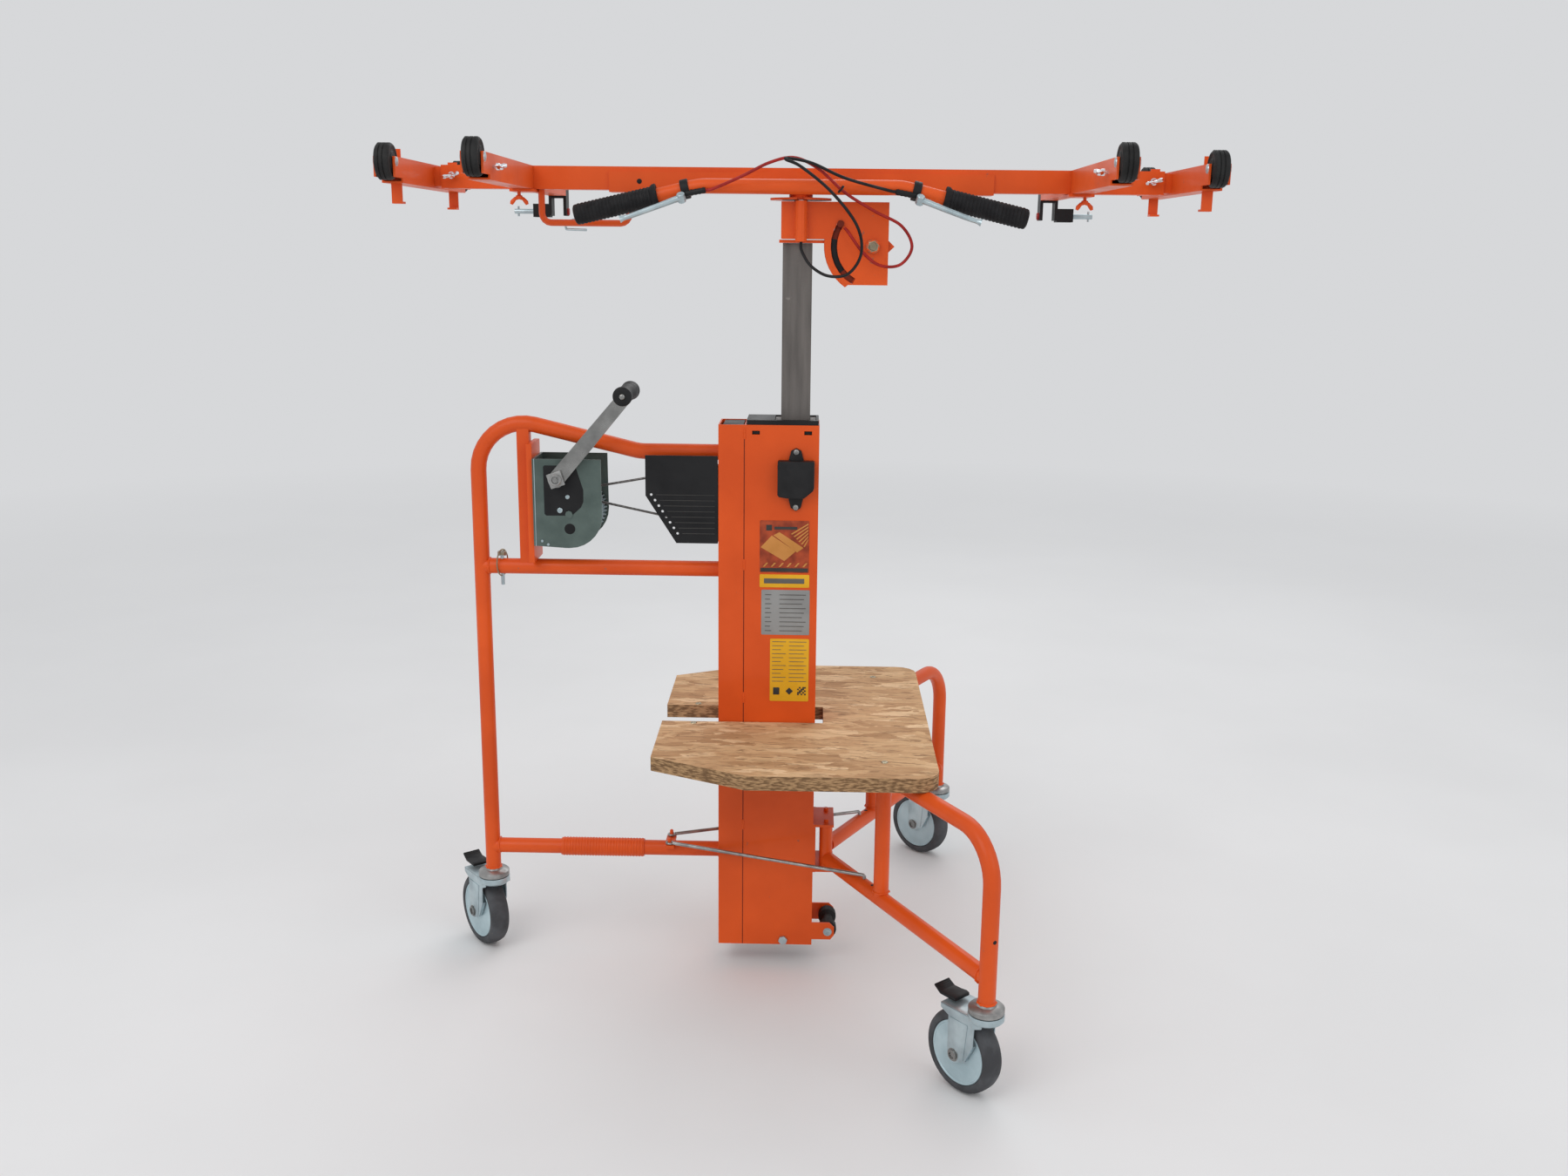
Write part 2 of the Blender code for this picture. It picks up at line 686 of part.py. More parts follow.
def make_winch_rope():
    """The wound turns on the drum and the two runs that leave them for the mast."""
    wound = ring((WINCH_X, -0.0100, WINCH_Z), (WINCH_X, 0.0100, WINCH_Z), 0.0400, 0.0226, 20)
    upper = rod((WINCH_X + 0.005, 0, WINCH_Z + 0.033), (-0.0750, 0, 0.8455), 0.0020, 8)
    lower = rod((WINCH_X + 0.026, 0, WINCH_Z + 0.0180), (-0.0680, 0, 0.7420), 0.0020, 8)
    finish(join(wound, upper, lower), "winch_rope", ZINC)


# ---------------------------------------------------------------- head
def make_head_bracket():
    tip = PIVOT_X + 0.0328
    web = [(0.086, 1.1940), (0.088, 1.170), (0.100, 1.146), (0.117, 1.1315), (0.176, 1.1315),
           (0.176, PIVOT_Z - 0.011), (tip, PIVOT_Z), (0.176, PIVOT_Z + 0.011), (0.176, 1.214),
           (0.132, 1.214), (0.118, 1.1940)]
    bracket = box((0.013, -0.0290, INNER_TOP + TOUCH), (0.105, 0.0290, 1.1945))
    for side in (-1, 1):
        low, high = sorted((side * 0.0240, side * 0.0280))
        join(bracket, plate(web, [], low, high))
    join(bracket, rod((PIVOT_X, -0.0360, PIVOT_Z), (PIVOT_X, 0.0360, PIVOT_Z), 0.006, 10))
    for side in (-1, 1):
        face = side * (FRAME_OUT + TOUCH)
        join(bracket, rod((PIVOT_X, face, PIVOT_Z), (PIVOT_X, face + side * 0.008, PIVOT_Z), 0.0105, 6))
    finish(bracket, "head_bracket", ORANGE, (MAST_X, 0, INNER_TOP))


def make_tilt_frame():
    pivot = (PIVOT_X, PIVOT_Z)
    side_plate = [(0.016, 1.2500), (0.016, 1.1960), (0.0815, 1.1960)]
    side_plate += arc(pivot, SECTOR_RADIUS, 178, 236, 8)
    side_plate += [(0.118, 1.1285), (0.178, 1.1285), (0.178, 1.2500)]
    slot = arc(pivot, SLOT_RADIUS + 0.0048, 146, 242, 8) + arc(pivot, SLOT_RADIUS - 0.0048, 242, 146, 8)
    hole = circle(pivot, 0.006 + 2 * RUN, 14)
    frame = box((0.016, -FRAME_OUT, 1.2465), (0.178, FRAME_OUT, 1.2505))
    for side in (-1, 1):
        low, high = sorted((side * FRAME_IN, side * FRAME_OUT))
        join(frame, plate(side_plate, [slot, hole], low, high))
    join(frame, rod((HEAD_X, 0, 1.2500), (HEAD_X, 0, 1.2610), 0.010, 12))
    join(frame, rod((HEAD_X + 0.001, POST_Y, 1.1920), (HEAD_X + 0.001, POST_Y, 1.2515), 0.0088, 12))
    cut(frame, rod((HEAD_X + 0.001, POST_Y, 1.18), (HEAD_X + 0.001, POST_Y, 1.26), 0.0048, 10))
    finish(frame, "tilt_frame", ORANGE, (PIVOT_X, 0, PIVOT_Z))


def make_tilt_latch():
    face = -FRAME_OUT - TOUCH
    centre = (0.1054, 1.2185)
    latch = plate(circle(centre, 0.0055, 8), [], face - 0.004, face)
    finish(latch, "tilt_latch", ZINC, (centre[0], face, centre[1]))


def make_plunger():
    x = HEAD_X + 0.001
    finish(rod((x, POST_Y, 1.2000), (x, POST_Y, 1.2524), 0.0044, 10), "swivel_plunger", ZINC,
           (x, POST_Y, 1.2524))


# ---------------------------------------------------------------- table
def make_table_channel():
    outer, wall = 0.0190, 0.003
    low, top = 1.2622, 1.2922
    left, right = HEAD_X - CHANNEL_HALF, HEAD_X + CHANNEL_HALF
    channel = box((left, -outer, low), (right, outer, top))
    cut(channel, box((left - 0.01, -outer + wall, low + wall), (right + 0.01, outer - wall, 1.31)))
    disc = ring((HEAD_X, 0, 1.2530), (HEAD_X, 0, 1.2560), 0.0475, 0.0103, 20)
    for x, y in ((0, -1), (0, 1), (-1, 0), (1, 0)):
        notch_low = (HEAD_X + 0.046 * x - 0.0055, 0.046 * y - 0.0055, 1.25)
        notch_high = (HEAD_X + 0.046 * x + 0.0055, 0.046 * y + 0.0055, 1.26)
        cut(disc, box(notch_low, notch_high))
    collar = ring((HEAD_X, 0, 1.2550), (HEAD_X, 0, 1.2630), 0.0180, 0.0103, 16)
    join(channel, join(disc, collar), carry_handle())
    finish(channel, "table_channel", ORANGE, (HEAD_X, 0, 1.2530))


def carry_handle():
    """The bail under the left half of the beam."""
    left, right = HEAD_X - 0.396, HEAD_X - 0.262
    path = rounded([(left, 0, BEAM_BOTTOM - TOUCH), (left, 0, 1.2165), (right, 0, 1.2165),
                    (right, 0, 1.2640)], 0.014, 4)
    return pipe(path, 0.005, 1)


def make_table_beam():
    half = BEAM_WIDTH / 2
    low = (HEAD_X - BEAM_HALF, -half, BEAM_BOTTOM)
    high = (HEAD_X + BEAM_HALF, half, BEAM_BOTTOM + BEAM_HEIGHT)
    finish(square_tube(low, high, SHEET, 0), "table_beam", ORANGE, (HEAD_X, 0, BEAM_BOTTOM))


def bar_point(distance, side):
    """A point on the centre line of the sloping part of the handlebar."""
    slope = max(0.0, distance - BAR_BEND) * BAR_DROP
    return Vector((HEAD_X + side * distance, BAR_Y, BAR_Z - slope))


def make_handlebar():
    path = [tuple(bar_point(BAR_END, -1)), tuple(bar_point(BAR_BEND, -1)),
            tuple(bar_point(BAR_BEND, 1)), tuple(bar_point(BAR_END, 1))]
    bar = pipe(rounded(path, 0.10, 4), BAR_RADIUS)
    for side in (-1, 1):
        low, high = sorted((HEAD_X + side * 0.026, HEAD_X + side * 0.034))
        join(bar, box((low, -0.0560, 1.2640), (high, -0.0193, 1.2740)))
        join(bar, lever_clamp(side))
    finish(bar, "handlebar", ORANGE, (HEAD_X, BAR_Y, BAR_Z))


def make_grip(name, side):
    start = bar_point(GRIP_START, side)
    line = (bar_point(BAR_END, side) - start).normalized()
    bore = BAR_RADIUS + TOUCH
    profile = [(bore, 0), (0.0180, 0), (0.0180, 0.006), (0.0155, 0.010), (0.0155, 0.124),
               (0.0130, 0.128), (bore, 0.128)]
    finish(turned(profile, start, line, 14), name, BLACK)


def lever_frame(side):
    """Directions of a brake lever: along the bar, away from the bar and its pivot axis."""
    along = (bar_point(BAR_END, side) - bar_point(GRIP_START, side)).normalized()
    away = Vector((0, -0.85, -0.53))
    away = (away - along * away.dot(along)).normalized()
    return along, away, away.cross(along)


def make_lever(name, side):
    along, away, axis = lever_frame(side)
    root = bar_point(LEVER_S, side)
    points = [(-0.004, 0.0222), (0.010, 0.0235), (0.034, 0.0300), (0.075, 0.0400), (0.098, 0.0430)]
    path = [tuple(root + along * s + away * d) for s, d in points]
    lever = pipe(path, 0.0040, 2)
    pivot = root + away * 0.0222
    join(lever, rod(pivot - axis * 0.007, pivot + axis * 0.007, 0.0062, 10))
    finish(lever, name, ZINC, pivot)


def clamp_points(side):
    """Root and outer end of the cable adjuster on a lever clamp."""
    along, away, axis = lever_frame(side)
    root = bar_point(LEVER_S, side) - along * 0.007 + away * 0.0135
    return root, root - along * 0.030 + away * 0.003


def lever_clamp(side):
    """The clamp ring round the handlebar with the cable adjuster on it."""
    along, away, axis = lever_frame(side)
    centre = bar_point(LEVER_S, side)
    clamp = rod(centre - along * 0.013, centre - along * 0.001, 0.0145, 12)
    root, end = clamp_points(side)
    return join(clamp, rod(root, end, 0.0045, 8))


CABLE_RADIUS = 0.0024
RED_ROUTE = [(-0.040, -0.088, 1.284), (0.000, -0.092, 1.303), (0.036, -0.092, 1.310),
             (0.072, -0.090, 1.294), (0.110, -0.084, 1.262), (0.155, -0.072, 1.236),
             (0.195, -0.062, 1.216), (0.212, -0.056, 1.186), (0.196, -0.052, 1.160),
             (0.166, -0.050, 1.158), (0.140, -0.049, 1.176), (0.117, -0.044, 1.206)]
BLACK_ROUTE = [(0.110, -0.092, 1.282), (0.062, -0.098, 1.302), (0.030, -0.106, 1.308),
               (0.024, -0.114, 1.306), (0.046, -0.116, 1.296), (0.090, -0.104, 1.262),
               (0.128, -0.086, 1.216), (0.136, -0.074, 1.176), (0.118, -0.064, 1.146),
               (0.088, -0.056, 1.142), (0.062, -0.048, 1.156), (0.0475, -0.0425, 1.178)]


def make_cable(name, start, inward, route, last, colour):
    lead = [tuple(start + inward * 0.0012), tuple(start + inward * 0.012)]
    points = smooth_route(lead + route + [last], 2)
    finish(pipe(points, CABLE_RADIUS, 1), name, colour)


def make_controls():
    ends = {}
    for name, side in (("left", -1), ("right", 1)):
        make_grip("grip_" + name, side)
        make_lever("brake_lever_" + name, side)
        ends[name] = clamp_points(side)[1]
    inward_left = -lever_frame(-1)[0] * 0.995 + lever_frame(-1)[1] * 0.1
    inward_right = -lever_frame(1)[0] * 0.995 + lever_frame(1)[1] * 0.1
    make_cable("tilt_cable", ends["left"], inward_left, RED_ROUTE, (0.1115, -0.0410, 1.2125), RED)
    make_cable("swivel_cable", ends["right"], inward_right, BLACK_ROUTE,
               (HEAD_X + 0.001, POST_Y, 1.1905), BLACK)


def add_wheel_ears(arm, centre_x, sign, reach):
    """Two ears and the axle of a board wheel at the end of an arm."""
    for side in (-1, 1):
        low_x, high_x = sorted((centre_x + side * 0.0120, centre_x + side * ARM_WIDTH / 2))
        low_y, high_y = sorted((sign * (reach - 0.034), sign * (reach + 0.008)))
        join(arm, box((low_x, low_y, 1.2720), (high_x, high_y, BEAM_BOTTOM + BEAM_HEIGHT)))
    axle = 0.0135
    join(arm, rod((centre_x - axle, sign * reach, PAD_Z), (centre_x + axle, sign * reach, PAD_Z),
                  0.0035, 8))


def make_extension():
    """The right-hand sliding tube with its cross arm."""
    gap = SHEET + 0.0003
    half = BEAM_WIDTH / 2 - gap
    centre = HEAD_X + OUTER_ARM
    low_z, high_z = BEAM_BOTTOM + gap, BEAM_BOTTOM + BEAM_HEIGHT - gap
    slide = box((HEAD_X + 0.250, -half, low_z), (centre - 0.013, half, high_z))
    cut(slide, box((HEAD_X + 0.240, -half + SHEET, low_z + SHEET), (centre - 0.020, half - SHEET, high_z - SHEET)))
    arm_low = (centre - ARM_WIDTH / 2, -OUTER_REACH + 0.029, BEAM_BOTTOM)
    arm_high = (centre + ARM_WIDTH / 2, OUTER_REACH - 0.029, BEAM_BOTTOM + BEAM_HEIGHT)
    arm = join(square_tube(arm_low, arm_high, SHEET, 1), slide)
    for sign in (-1, 1):
        add_wheel_ears(arm, centre, sign, OUTER_REACH)
        y = sign * STOP_Y
        cut(arm, box((centre - 0.0080, y - 0.0020, 1.2), (centre + 0.0080, y + 0.0020, 1.4)))
    return arm


def make_inner_arm():
    """The right-hand sliding cross arm on its saddle under the beam."""
    centre = HEAD_X + INNER_ARM
    half = ARM_WIDTH / 2
    top = BEAM_BOTTOM + BEAM_HEIGHT
    side = BEAM_WIDTH / 2 + 0.0005
    arm = square_tube((centre - half, -INNER_REACH + 0.029, BEAM_BOTTOM), (centre + half, -side, top), SHEET, 1)
    add_wheel_ears(arm, centre, -1, INNER_REACH)
    far = square_tube((centre - half, side, BEAM_BOTTOM), (centre + half, INNER_FAR, top), SHEET, 1)
    saddle = box((centre - half - 0.004, -0.030, 1.2612), (centre + half + 0.004, 0.030, 1.2650))
    rails = box((centre - half, -0.0295, 1.2640), (centre + half, -side, 1.2700))
    far_rails = box((centre - half, side, 1.2640), (centre + half, 0.0295, 1.2700))
    return join(saddle, join(arm, rails), join(far, far_rails))


def make_board_catch():
    """The right-hand block on the far end of an inner arm."""
    centre = HEAD_X + INNER_ARM
    low_y, high_y = INNER_FAR + TOUCH, INNER_FAR + 0.030
    catch = box((centre - 0.0150, low_y, 1.2325), (centre + 0.0150, high_y, 1.2760))
    cut(catch, box((centre - 0.0100, low_y - 0.01, 1.22), (centre + 0.0100, high_y + 0.01, 1.262)))
    join(catch, box((centre + 0.0140, low_y, 1.2300), (centre + 0.0420, high_y, 1.2520)))
    return catch


def make_board_wheel(name, x, y):
    bore = 0.0035 + RUN
    half = PAD_HALF
    upper = [(PAD_RADIUS, 0.0080), (0.0210, half), (bore, half)]
    profile = [(radius, -height) for radius, height in reversed(upper)] + upper
    centre = (x, y, PAD_Z)
    finish(turned(profile, centre, (1, 0, 0), 16), name, RUBBER, centre)


def make_edge_stop(name, x, y):
    bar = box((x - 0.0075, y - 0.0015, 1.2380), (x + 0.0075, y + 0.0015, 1.3125))
    low_y, high_y = sorted((y, y - math.copysign(0.0150, y)))
    join(bar, box((x - 0.0075, low_y, 1.2380), (x + 0.0075, high_y, 1.2410)))
    finish(bar, name, ORANGE, (x, y, 1.2380))


def make_table_ends():
    for name, side in (("right", 1), ("left", -1)):
        for piece, label, colour in ((make_extension(), "extension_", ORANGE),
                                     (make_inner_arm(), "inner_arm_", ORANGE),
                                     (make_board_catch(), "board_catch_", BLACK)):
            if side < 0:
                mirrored(piece)
            finish(piece, label + name, colour)
        outer_x = HEAD_X + side * OUTER_ARM
        inner_x = HEAD_X + side * INNER_ARM
        for spot, sign in (("near", -1), ("far", 1)):
            make_board_wheel("outer_wheel_%s_%s" % (name, spot), outer_x, sign * OUTER_REACH)
            make_edge_stop("edge_stop_%s_%s" % (name, spot), outer_x, sign * STOP_Y)
        make_board_wheel("inner_wheel_" + name, inner_x, -INNER_REACH)


def settle(pieces):
    """Shift everything so the origin is the middle of the underside of the whole lift."""
    bpy.context.view_layer.update()
    corners = [piece.matrix_world @ Vector(vertex.co) for piece in pieces for vertex in piece.data.vertices]
    low = [min(corner[i] for corner in corners) for i in range(3)]
    high = [max(corner[i] for corner in corners) for i in range(3)]
    shift = Vector(((low[0] + high[0]) / 2, (low[1] + high[1]) / 2, low[2]))
    for piece in pieces:
        piece.location = piece.location - shift


# ---------------------------------------------------------------- build
def main():
    global PARTS
    clear_scene()
    PARTS = bpy.data.collections.new("drywall_lift")
    bpy.context.scene.collection.children.link(PARTS)
    make_housing()
    make_skid_rollers()
    make_rope_pulley()
    make_top_guide()
    make_mid_section()
    make_inner_section()
    make_pulley_cover()
    make_rear_frame()
    make_lock_pin()
    make_guard_plate()
    make_shelf()
    for name, side in (("near", -1), ("far", 1)):
        make_leg("leg_" + name, side)
        make_stay("stay_" + name, side)
    make_castors()
    make_winch_frame()
    make_drum()
    make_winch_shaft()
    make_crank_arm()
    make_crank_grip()
    make_winch_rope()
    make_head_bracket()
    make_tilt_frame()
    make_tilt_latch()
    make_plunger()
    make_table_channel()
    make_table_beam()
    make_handlebar()
    make_controls()
    make_table_ends()
    settle(list(PARTS.objects))


main()
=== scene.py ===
import math

import bmesh
import bpy
from mathutils import Matrix, Vector


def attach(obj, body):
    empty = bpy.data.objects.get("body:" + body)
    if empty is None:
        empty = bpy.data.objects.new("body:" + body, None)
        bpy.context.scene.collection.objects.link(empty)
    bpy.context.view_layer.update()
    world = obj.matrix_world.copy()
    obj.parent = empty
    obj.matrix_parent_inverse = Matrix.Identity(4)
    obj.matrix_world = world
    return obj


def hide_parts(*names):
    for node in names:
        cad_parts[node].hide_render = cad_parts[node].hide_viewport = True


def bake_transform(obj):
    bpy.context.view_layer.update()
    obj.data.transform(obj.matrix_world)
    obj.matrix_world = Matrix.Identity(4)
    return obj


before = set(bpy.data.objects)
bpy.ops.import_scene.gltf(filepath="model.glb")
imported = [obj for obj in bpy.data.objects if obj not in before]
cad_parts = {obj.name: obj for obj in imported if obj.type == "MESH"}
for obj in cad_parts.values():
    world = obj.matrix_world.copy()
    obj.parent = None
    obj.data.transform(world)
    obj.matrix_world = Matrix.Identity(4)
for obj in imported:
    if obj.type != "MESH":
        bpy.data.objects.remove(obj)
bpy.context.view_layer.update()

# Positions below are measured from the floor under the middle of the mast; SHIFT takes them to the frame.
SHIFT = Vector((-0.045, -0.023965, -0.000086))
HEAD_X = 0.045
FACE_Y = -0.040


# ------------------------------------------------------------------ materials
def shader_tree(name):
    material = bpy.data.materials.new(name)
    material.use_nodes = True
    tree = material.node_tree
    shader = tree.nodes["Principled BSDF"]
    place = tree.nodes.new("ShaderNodeTexCoord")
    return material, tree, shader, place.outputs["Object"]


def noise(tree, place, scale, detail=4.0, stretch=None):
    texture = tree.nodes.new("ShaderNodeTexNoise")
    texture.inputs["Scale"].default_value = scale
    texture.inputs["Detail"].default_value = detail
    if stretch:
        mapping = tree.nodes.new("ShaderNodeMapping")
        mapping.inputs["Scale"].default_value = stretch
        tree.links.new(place, mapping.inputs["Vector"])
        place = mapping.outputs["Vector"]
    tree.links.new(place, texture.inputs["Vector"])
    return texture.outputs["Fac"]


def remap(tree, value, low, high, start=0.35, end=0.65):
    node = tree.nodes.new("ShaderNodeMapRange")
    node.inputs["From Min"].default_value = start
    node.inputs["From Max"].default_value = end
    node.inputs["To Min"].default_value = low
    node.inputs["To Max"].default_value = high
    tree.links.new(value, node.inputs["Value"])
    return node.outputs["Result"]


def blend_colour(tree, factor, first, second):
    node = tree.nodes.new("ShaderNodeMix")
    node.data_type = "RGBA"
    tree.links.new(factor, node.inputs["Factor"])
    for socket, colour in ((node.inputs["A"], first), (node.inputs["B"], second)):
        if isinstance(colour, tuple):
            socket.default_value = (*colour, 1)
        else:
            tree.links.new(colour, socket)
    return node.outputs["Result"]


def bump(tree, shader, height, strength, distance=0.0006):
    node = tree.nodes.new("ShaderNodeBump")
    node.inputs["Strength"].default_value = strength
    node.inputs["Distance"].default_value = distance
    tree.links.new(height, node.inputs["Height"])
    tree.links.new(node.outputs["Normal"], shader.inputs["Normal"])


def surface(name, light, dark, rough, metallic=0.0, scale=18.0, grain=300.0, relief=0.12, wear=None,
            stretch=None, coat=0.0):
    """A finish that wanders between two tones, with fine grain and sometimes scuffed patches."""
    material, tree, shader, place = shader_tree(name)
    cloud = noise(tree, place, scale, 5.0, stretch)
    colour = blend_colour(tree, remap(tree, cloud, 0.0, 1.0), light, dark)
    if wear:
        scuff = remap(tree, noise(tree, place, 60.0, 8.0), 0.0, 1.0, 0.71, 0.75)
        colour = blend_colour(tree, scuff, colour, wear)
    tree.links.new(colour, shader.inputs["Base Color"])
    shader.inputs["Metallic"].default_value = metallic
    shader.inputs["Specular IOR Level"].default_value = 0.22
    tree.links.new(remap(tree, cloud, rough - 0.06, rough + 0.08), shader.inputs["Roughness"])
    shader.inputs["Coat Weight"].default_value = coat
    bump(tree, shader, noise(tree, place, grain, 3.0), relief)
    return material


def chips(tree, place, angle, size):
    """Flat chips lying at one angle: returns their tone, a number per chip and their fine grain."""
    mapping = tree.nodes.new("ShaderNodeMapping")
    mapping.inputs["Rotation"].default_value = (0, 0, angle)
    mapping.inputs["Scale"].default_value = (17 * size, 50 * size, 240)
    tree.links.new(place, mapping.inputs["Vector"])
    wander = tree.nodes.new("ShaderNodeTexNoise")
    wander.inputs["Scale"].default_value = 1.6
    tree.links.new(mapping.outputs["Vector"], wander.inputs["Vector"])
    bent = tree.nodes.new("ShaderNodeVectorMath")
    bent.operation = "ADD"
    tree.links.new(mapping.outputs["Vector"], bent.inputs[0])
    tree.links.new(wander.outputs["Color"], bent.inputs[1])
    cells = tree.nodes.new("ShaderNodeTexVoronoi")
    cells.inputs["Scale"].default_value = 1.0
    tree.links.new(bent.outputs["Vector"], cells.inputs["Vector"])
    parts = tree.nodes.new("ShaderNodeSeparateColor")
    tree.links.new(cells.outputs["Color"], parts.inputs["Color"])
    grain = noise(tree, bent.outputs["Vector"], 3.0, 6.0, (0.5, 3.2, 1.0))
    ramp = tree.nodes.new("ShaderNodeValToRGB")
    stops = ((0.0, (0.42, 0.235, 0.110)), (0.30, (0.56, 0.335, 0.170)), (0.72, (0.64, 0.41, 0.215)),
             (1.0, (0.80, 0.56, 0.33)))
    while len(ramp.color_ramp.elements) < len(stops):
        ramp.color_ramp.elements.new(0.5)
    for element, (position, colour) in zip(ramp.color_ramp.elements, stops):
        element.position = position
        element.color = (*colour, 1)
    tree.links.new(parts.outputs["Red"], ramp.inputs["Fac"])
    return ramp.outputs["Color"], parts.outputs["Green"], grain


def strand_board(name):
    """Pressed strand board: long flat chips of several tones lying at different angles."""
    material, tree, shader, place = shader_tree(name)
    tones = [chips(tree, place, angle, size) for angle, size in ((0.25, 0.8), (1.95, 1.1), (2.85, 1.0))]
    mixed = tones[0][0]
    for (tone, number, _), level in zip(tones[1:], (0.50, 0.66)):
        mixed = blend_colour(tree, remap(tree, number, 0.0, 1.0, level, level + 0.04), mixed, tone)
    lines = remap(tree, tones[0][2], 0.0, 0.75, 0.52, 0.66)
    mixed = blend_colour(tree, lines, mixed, (0.22, 0.115, 0.052))
    geometry = tree.nodes.new("ShaderNodeNewGeometry")
    facing = tree.nodes.new("ShaderNodeSeparateXYZ")
    tree.links.new(geometry.outputs["Normal"], facing.inputs["Vector"])
    edge = noise(tree, place, 1.0, 6.0, (90, 90, 420))
    edge_tone = blend_colour(tree, remap(tree, edge, 0.0, 1.0, 0.42, 0.60), (0.17, 0.095, 0.045),
                             (0.44, 0.27, 0.135))
    mixed = blend_colour(tree, remap(tree, facing.outputs["Z"], 0.0, 1.0, 0.4, 0.7), edge_tone, mixed)
    tree.links.new(mixed, shader.inputs["Base Color"])
    shader.inputs["Roughness"].default_value = 0.72
    shader.inputs["Specular IOR Level"].default_value = 0.2
    bump(tree, shader, tones[0][2], 0.22, 0.0008)
    return material


ORANGE = surface("orange_paint", (0.76, 0.098, 0.012), (0.64, 0.076, 0.008), 0.40, 0.0, 7.0, 420.0, 0.10,
                 (0.42, 0.10, 0.05), None, 0.10)
# painted shade: a darkened copy of the orange paint, used for the seam gap, the inside of the tilt slots and
# the tilt latch sitting in a slot
SHADE_ORANGE = surface("orange_in_painted_shade", (0.20, 0.022, 0.006), (0.13, 0.014, 0.004), 0.5, 0.0, 7.0, 420.0)
CRANK_STEEL = surface("brushed_arm", (0.32, 0.32, 0.31), (0.20, 0.20, 0.195), 0.28, 0.9, 30.0, 400.0, 0.08)
LABEL_DIM = surface("dim_print", (0.13, 0.125, 0.115), (0.10, 0.095, 0.09), 0.42, 0.0, 20.0, 500.0, 0.03)
MAST_GREY = surface("worn_mast_steel", (0.16, 0.145, 0.135), (0.115, 0.105, 0.098), 0.48, 0.2, 14.0,
                    300.0, 0.15, (0.22, 0.20, 0.185), (6, 6, 0.6))
ZINC = surface("zinc_plate", (0.52, 0.62, 0.65), (0.36, 0.44, 0.47), 0.34, 0.7, 30.0, 260.0, 0.08)
WINCH_ZINC = surface("winch_zinc", (0.125, 0.165, 0.150), (0.085, 0.115, 0.105), 0.36, 0.5, 22.0, 260.0, 0.10)
STEEL = surface("plain_steel", (0.42, 0.42, 0.41), (0.25, 0.25, 0.245), 0.34, 0.85, 60.0, 500.0, 0.10)
CHROME = surface("chrome", (0.85, 0.86, 0.88), (0.72, 0.73, 0.76), 0.14, 1.0, 25.0, 200.0, 0.03)
BLACK = surface("black_plastic", (0.016, 0.016, 0.017), (0.009, 0.009, 0.010), 0.45, 0.0, 40.0, 600.0, 0.2)
BLACK_STEEL = surface("black_painted_steel", (0.014, 0.014, 0.015), (0.008, 0.008, 0.009), 0.46, 0.0,
                      25.0, 400.0, 0.12)
FOAM = surface("black_grip", (0.014, 0.014, 0.015), (0.008, 0.008, 0.009), 0.62, 0.0, 60.0, 900.0, 0.45)
TYRE = surface("grey_tyre", (0.085, 0.088, 0.095), (0.055, 0.056, 0.060), 0.68, 0.0, 35.0, 500.0, 0.25,
               (0.14, 0.13, 0.12))
PAD_RUBBER = surface("board_wheel_rubber", (0.022, 0.022, 0.022), (0.012, 0.012, 0.012), 0.62, 0.0, 40.0,
                     500.0, 0.25, (0.05, 0.05, 0.048))
DISC = surface("castor_disc", (0.50, 0.63, 0.67), (0.40, 0.52, 0.56), 0.34, 0.35, 24.0, 240.0, 0.06)
BRASS = surface("yellow_zinc", (0.40, 0.35, 0.24), (0.26, 0.22, 0.15), 0.36, 0.7, 60.0, 400.0, 0.08)
LABEL_RUST = surface("rust_label", (0.42, 0.07, 0.025), (0.22, 0.035, 0.015), 0.42, 0.0, 60.0, 500.0, 0.03)
LABEL_TAN = surface("tan_label", (0.60, 0.26, 0.07), (0.52, 0.22, 0.05), 0.42, 0.0, 30.0, 500.0, 0.03)
RED = surface("red_cable_sheath", (0.38, 0.020, 0.016), (0.26, 0.012, 0.010), 0.42, 0.0, 50.0, 500.0, 0.1)
WIRE = surface("steel_rope", (0.17, 0.165, 0.16), (0.09, 0.088, 0.085), 0.38, 0.9, 240.0, 900.0, 0.3)
LABEL_YELLOW = surface("yellow_label", (0.78, 0.42, 0.02), (0.70, 0.36, 0.015), 0.42, 0.0, 20.0, 500.0, 0.03)
LABEL_GREY = surface("grey_label", (0.30, 0.30, 0.295), (0.25, 0.25, 0.245), 0.42, 0.0, 20.0, 500.0, 0.03)
LABEL_DARK = surface("dark_label", (0.050, 0.048, 0.046), (0.035, 0.034, 0.033), 0.42, 0.0, 20.0, 500.0, 0.03)
WOOD = strand_board("strand_board")


# ------------------------------------------------------------------ mesh tools
def new_piece(name, work, material, smooth=35.0):
    bmesh.ops.remove_doubles(work, verts=work.verts, dist=0.000004)
    bmesh.ops.recalc_face_normals(work, faces=work.faces)
    mesh = bpy.data.meshes.new(name)
    work.to_mesh(mesh)
    work.free()
    mesh.transform(Matrix.Translation(SHIFT))
    mesh.materials.append(material)
    piece = bpy.data.objects.new(name, mesh)
    bpy.context.scene.collection.objects.link(piece)
    mesh.shade_smooth()
    mesh.set_sharp_from_angle(angle=math.radians(smooth))
    return piece


def turn_to(direction):
    return Vector((0, 0, 1)).rotation_difference(Vector(direction).normalized()).to_matrix().to_4x4()


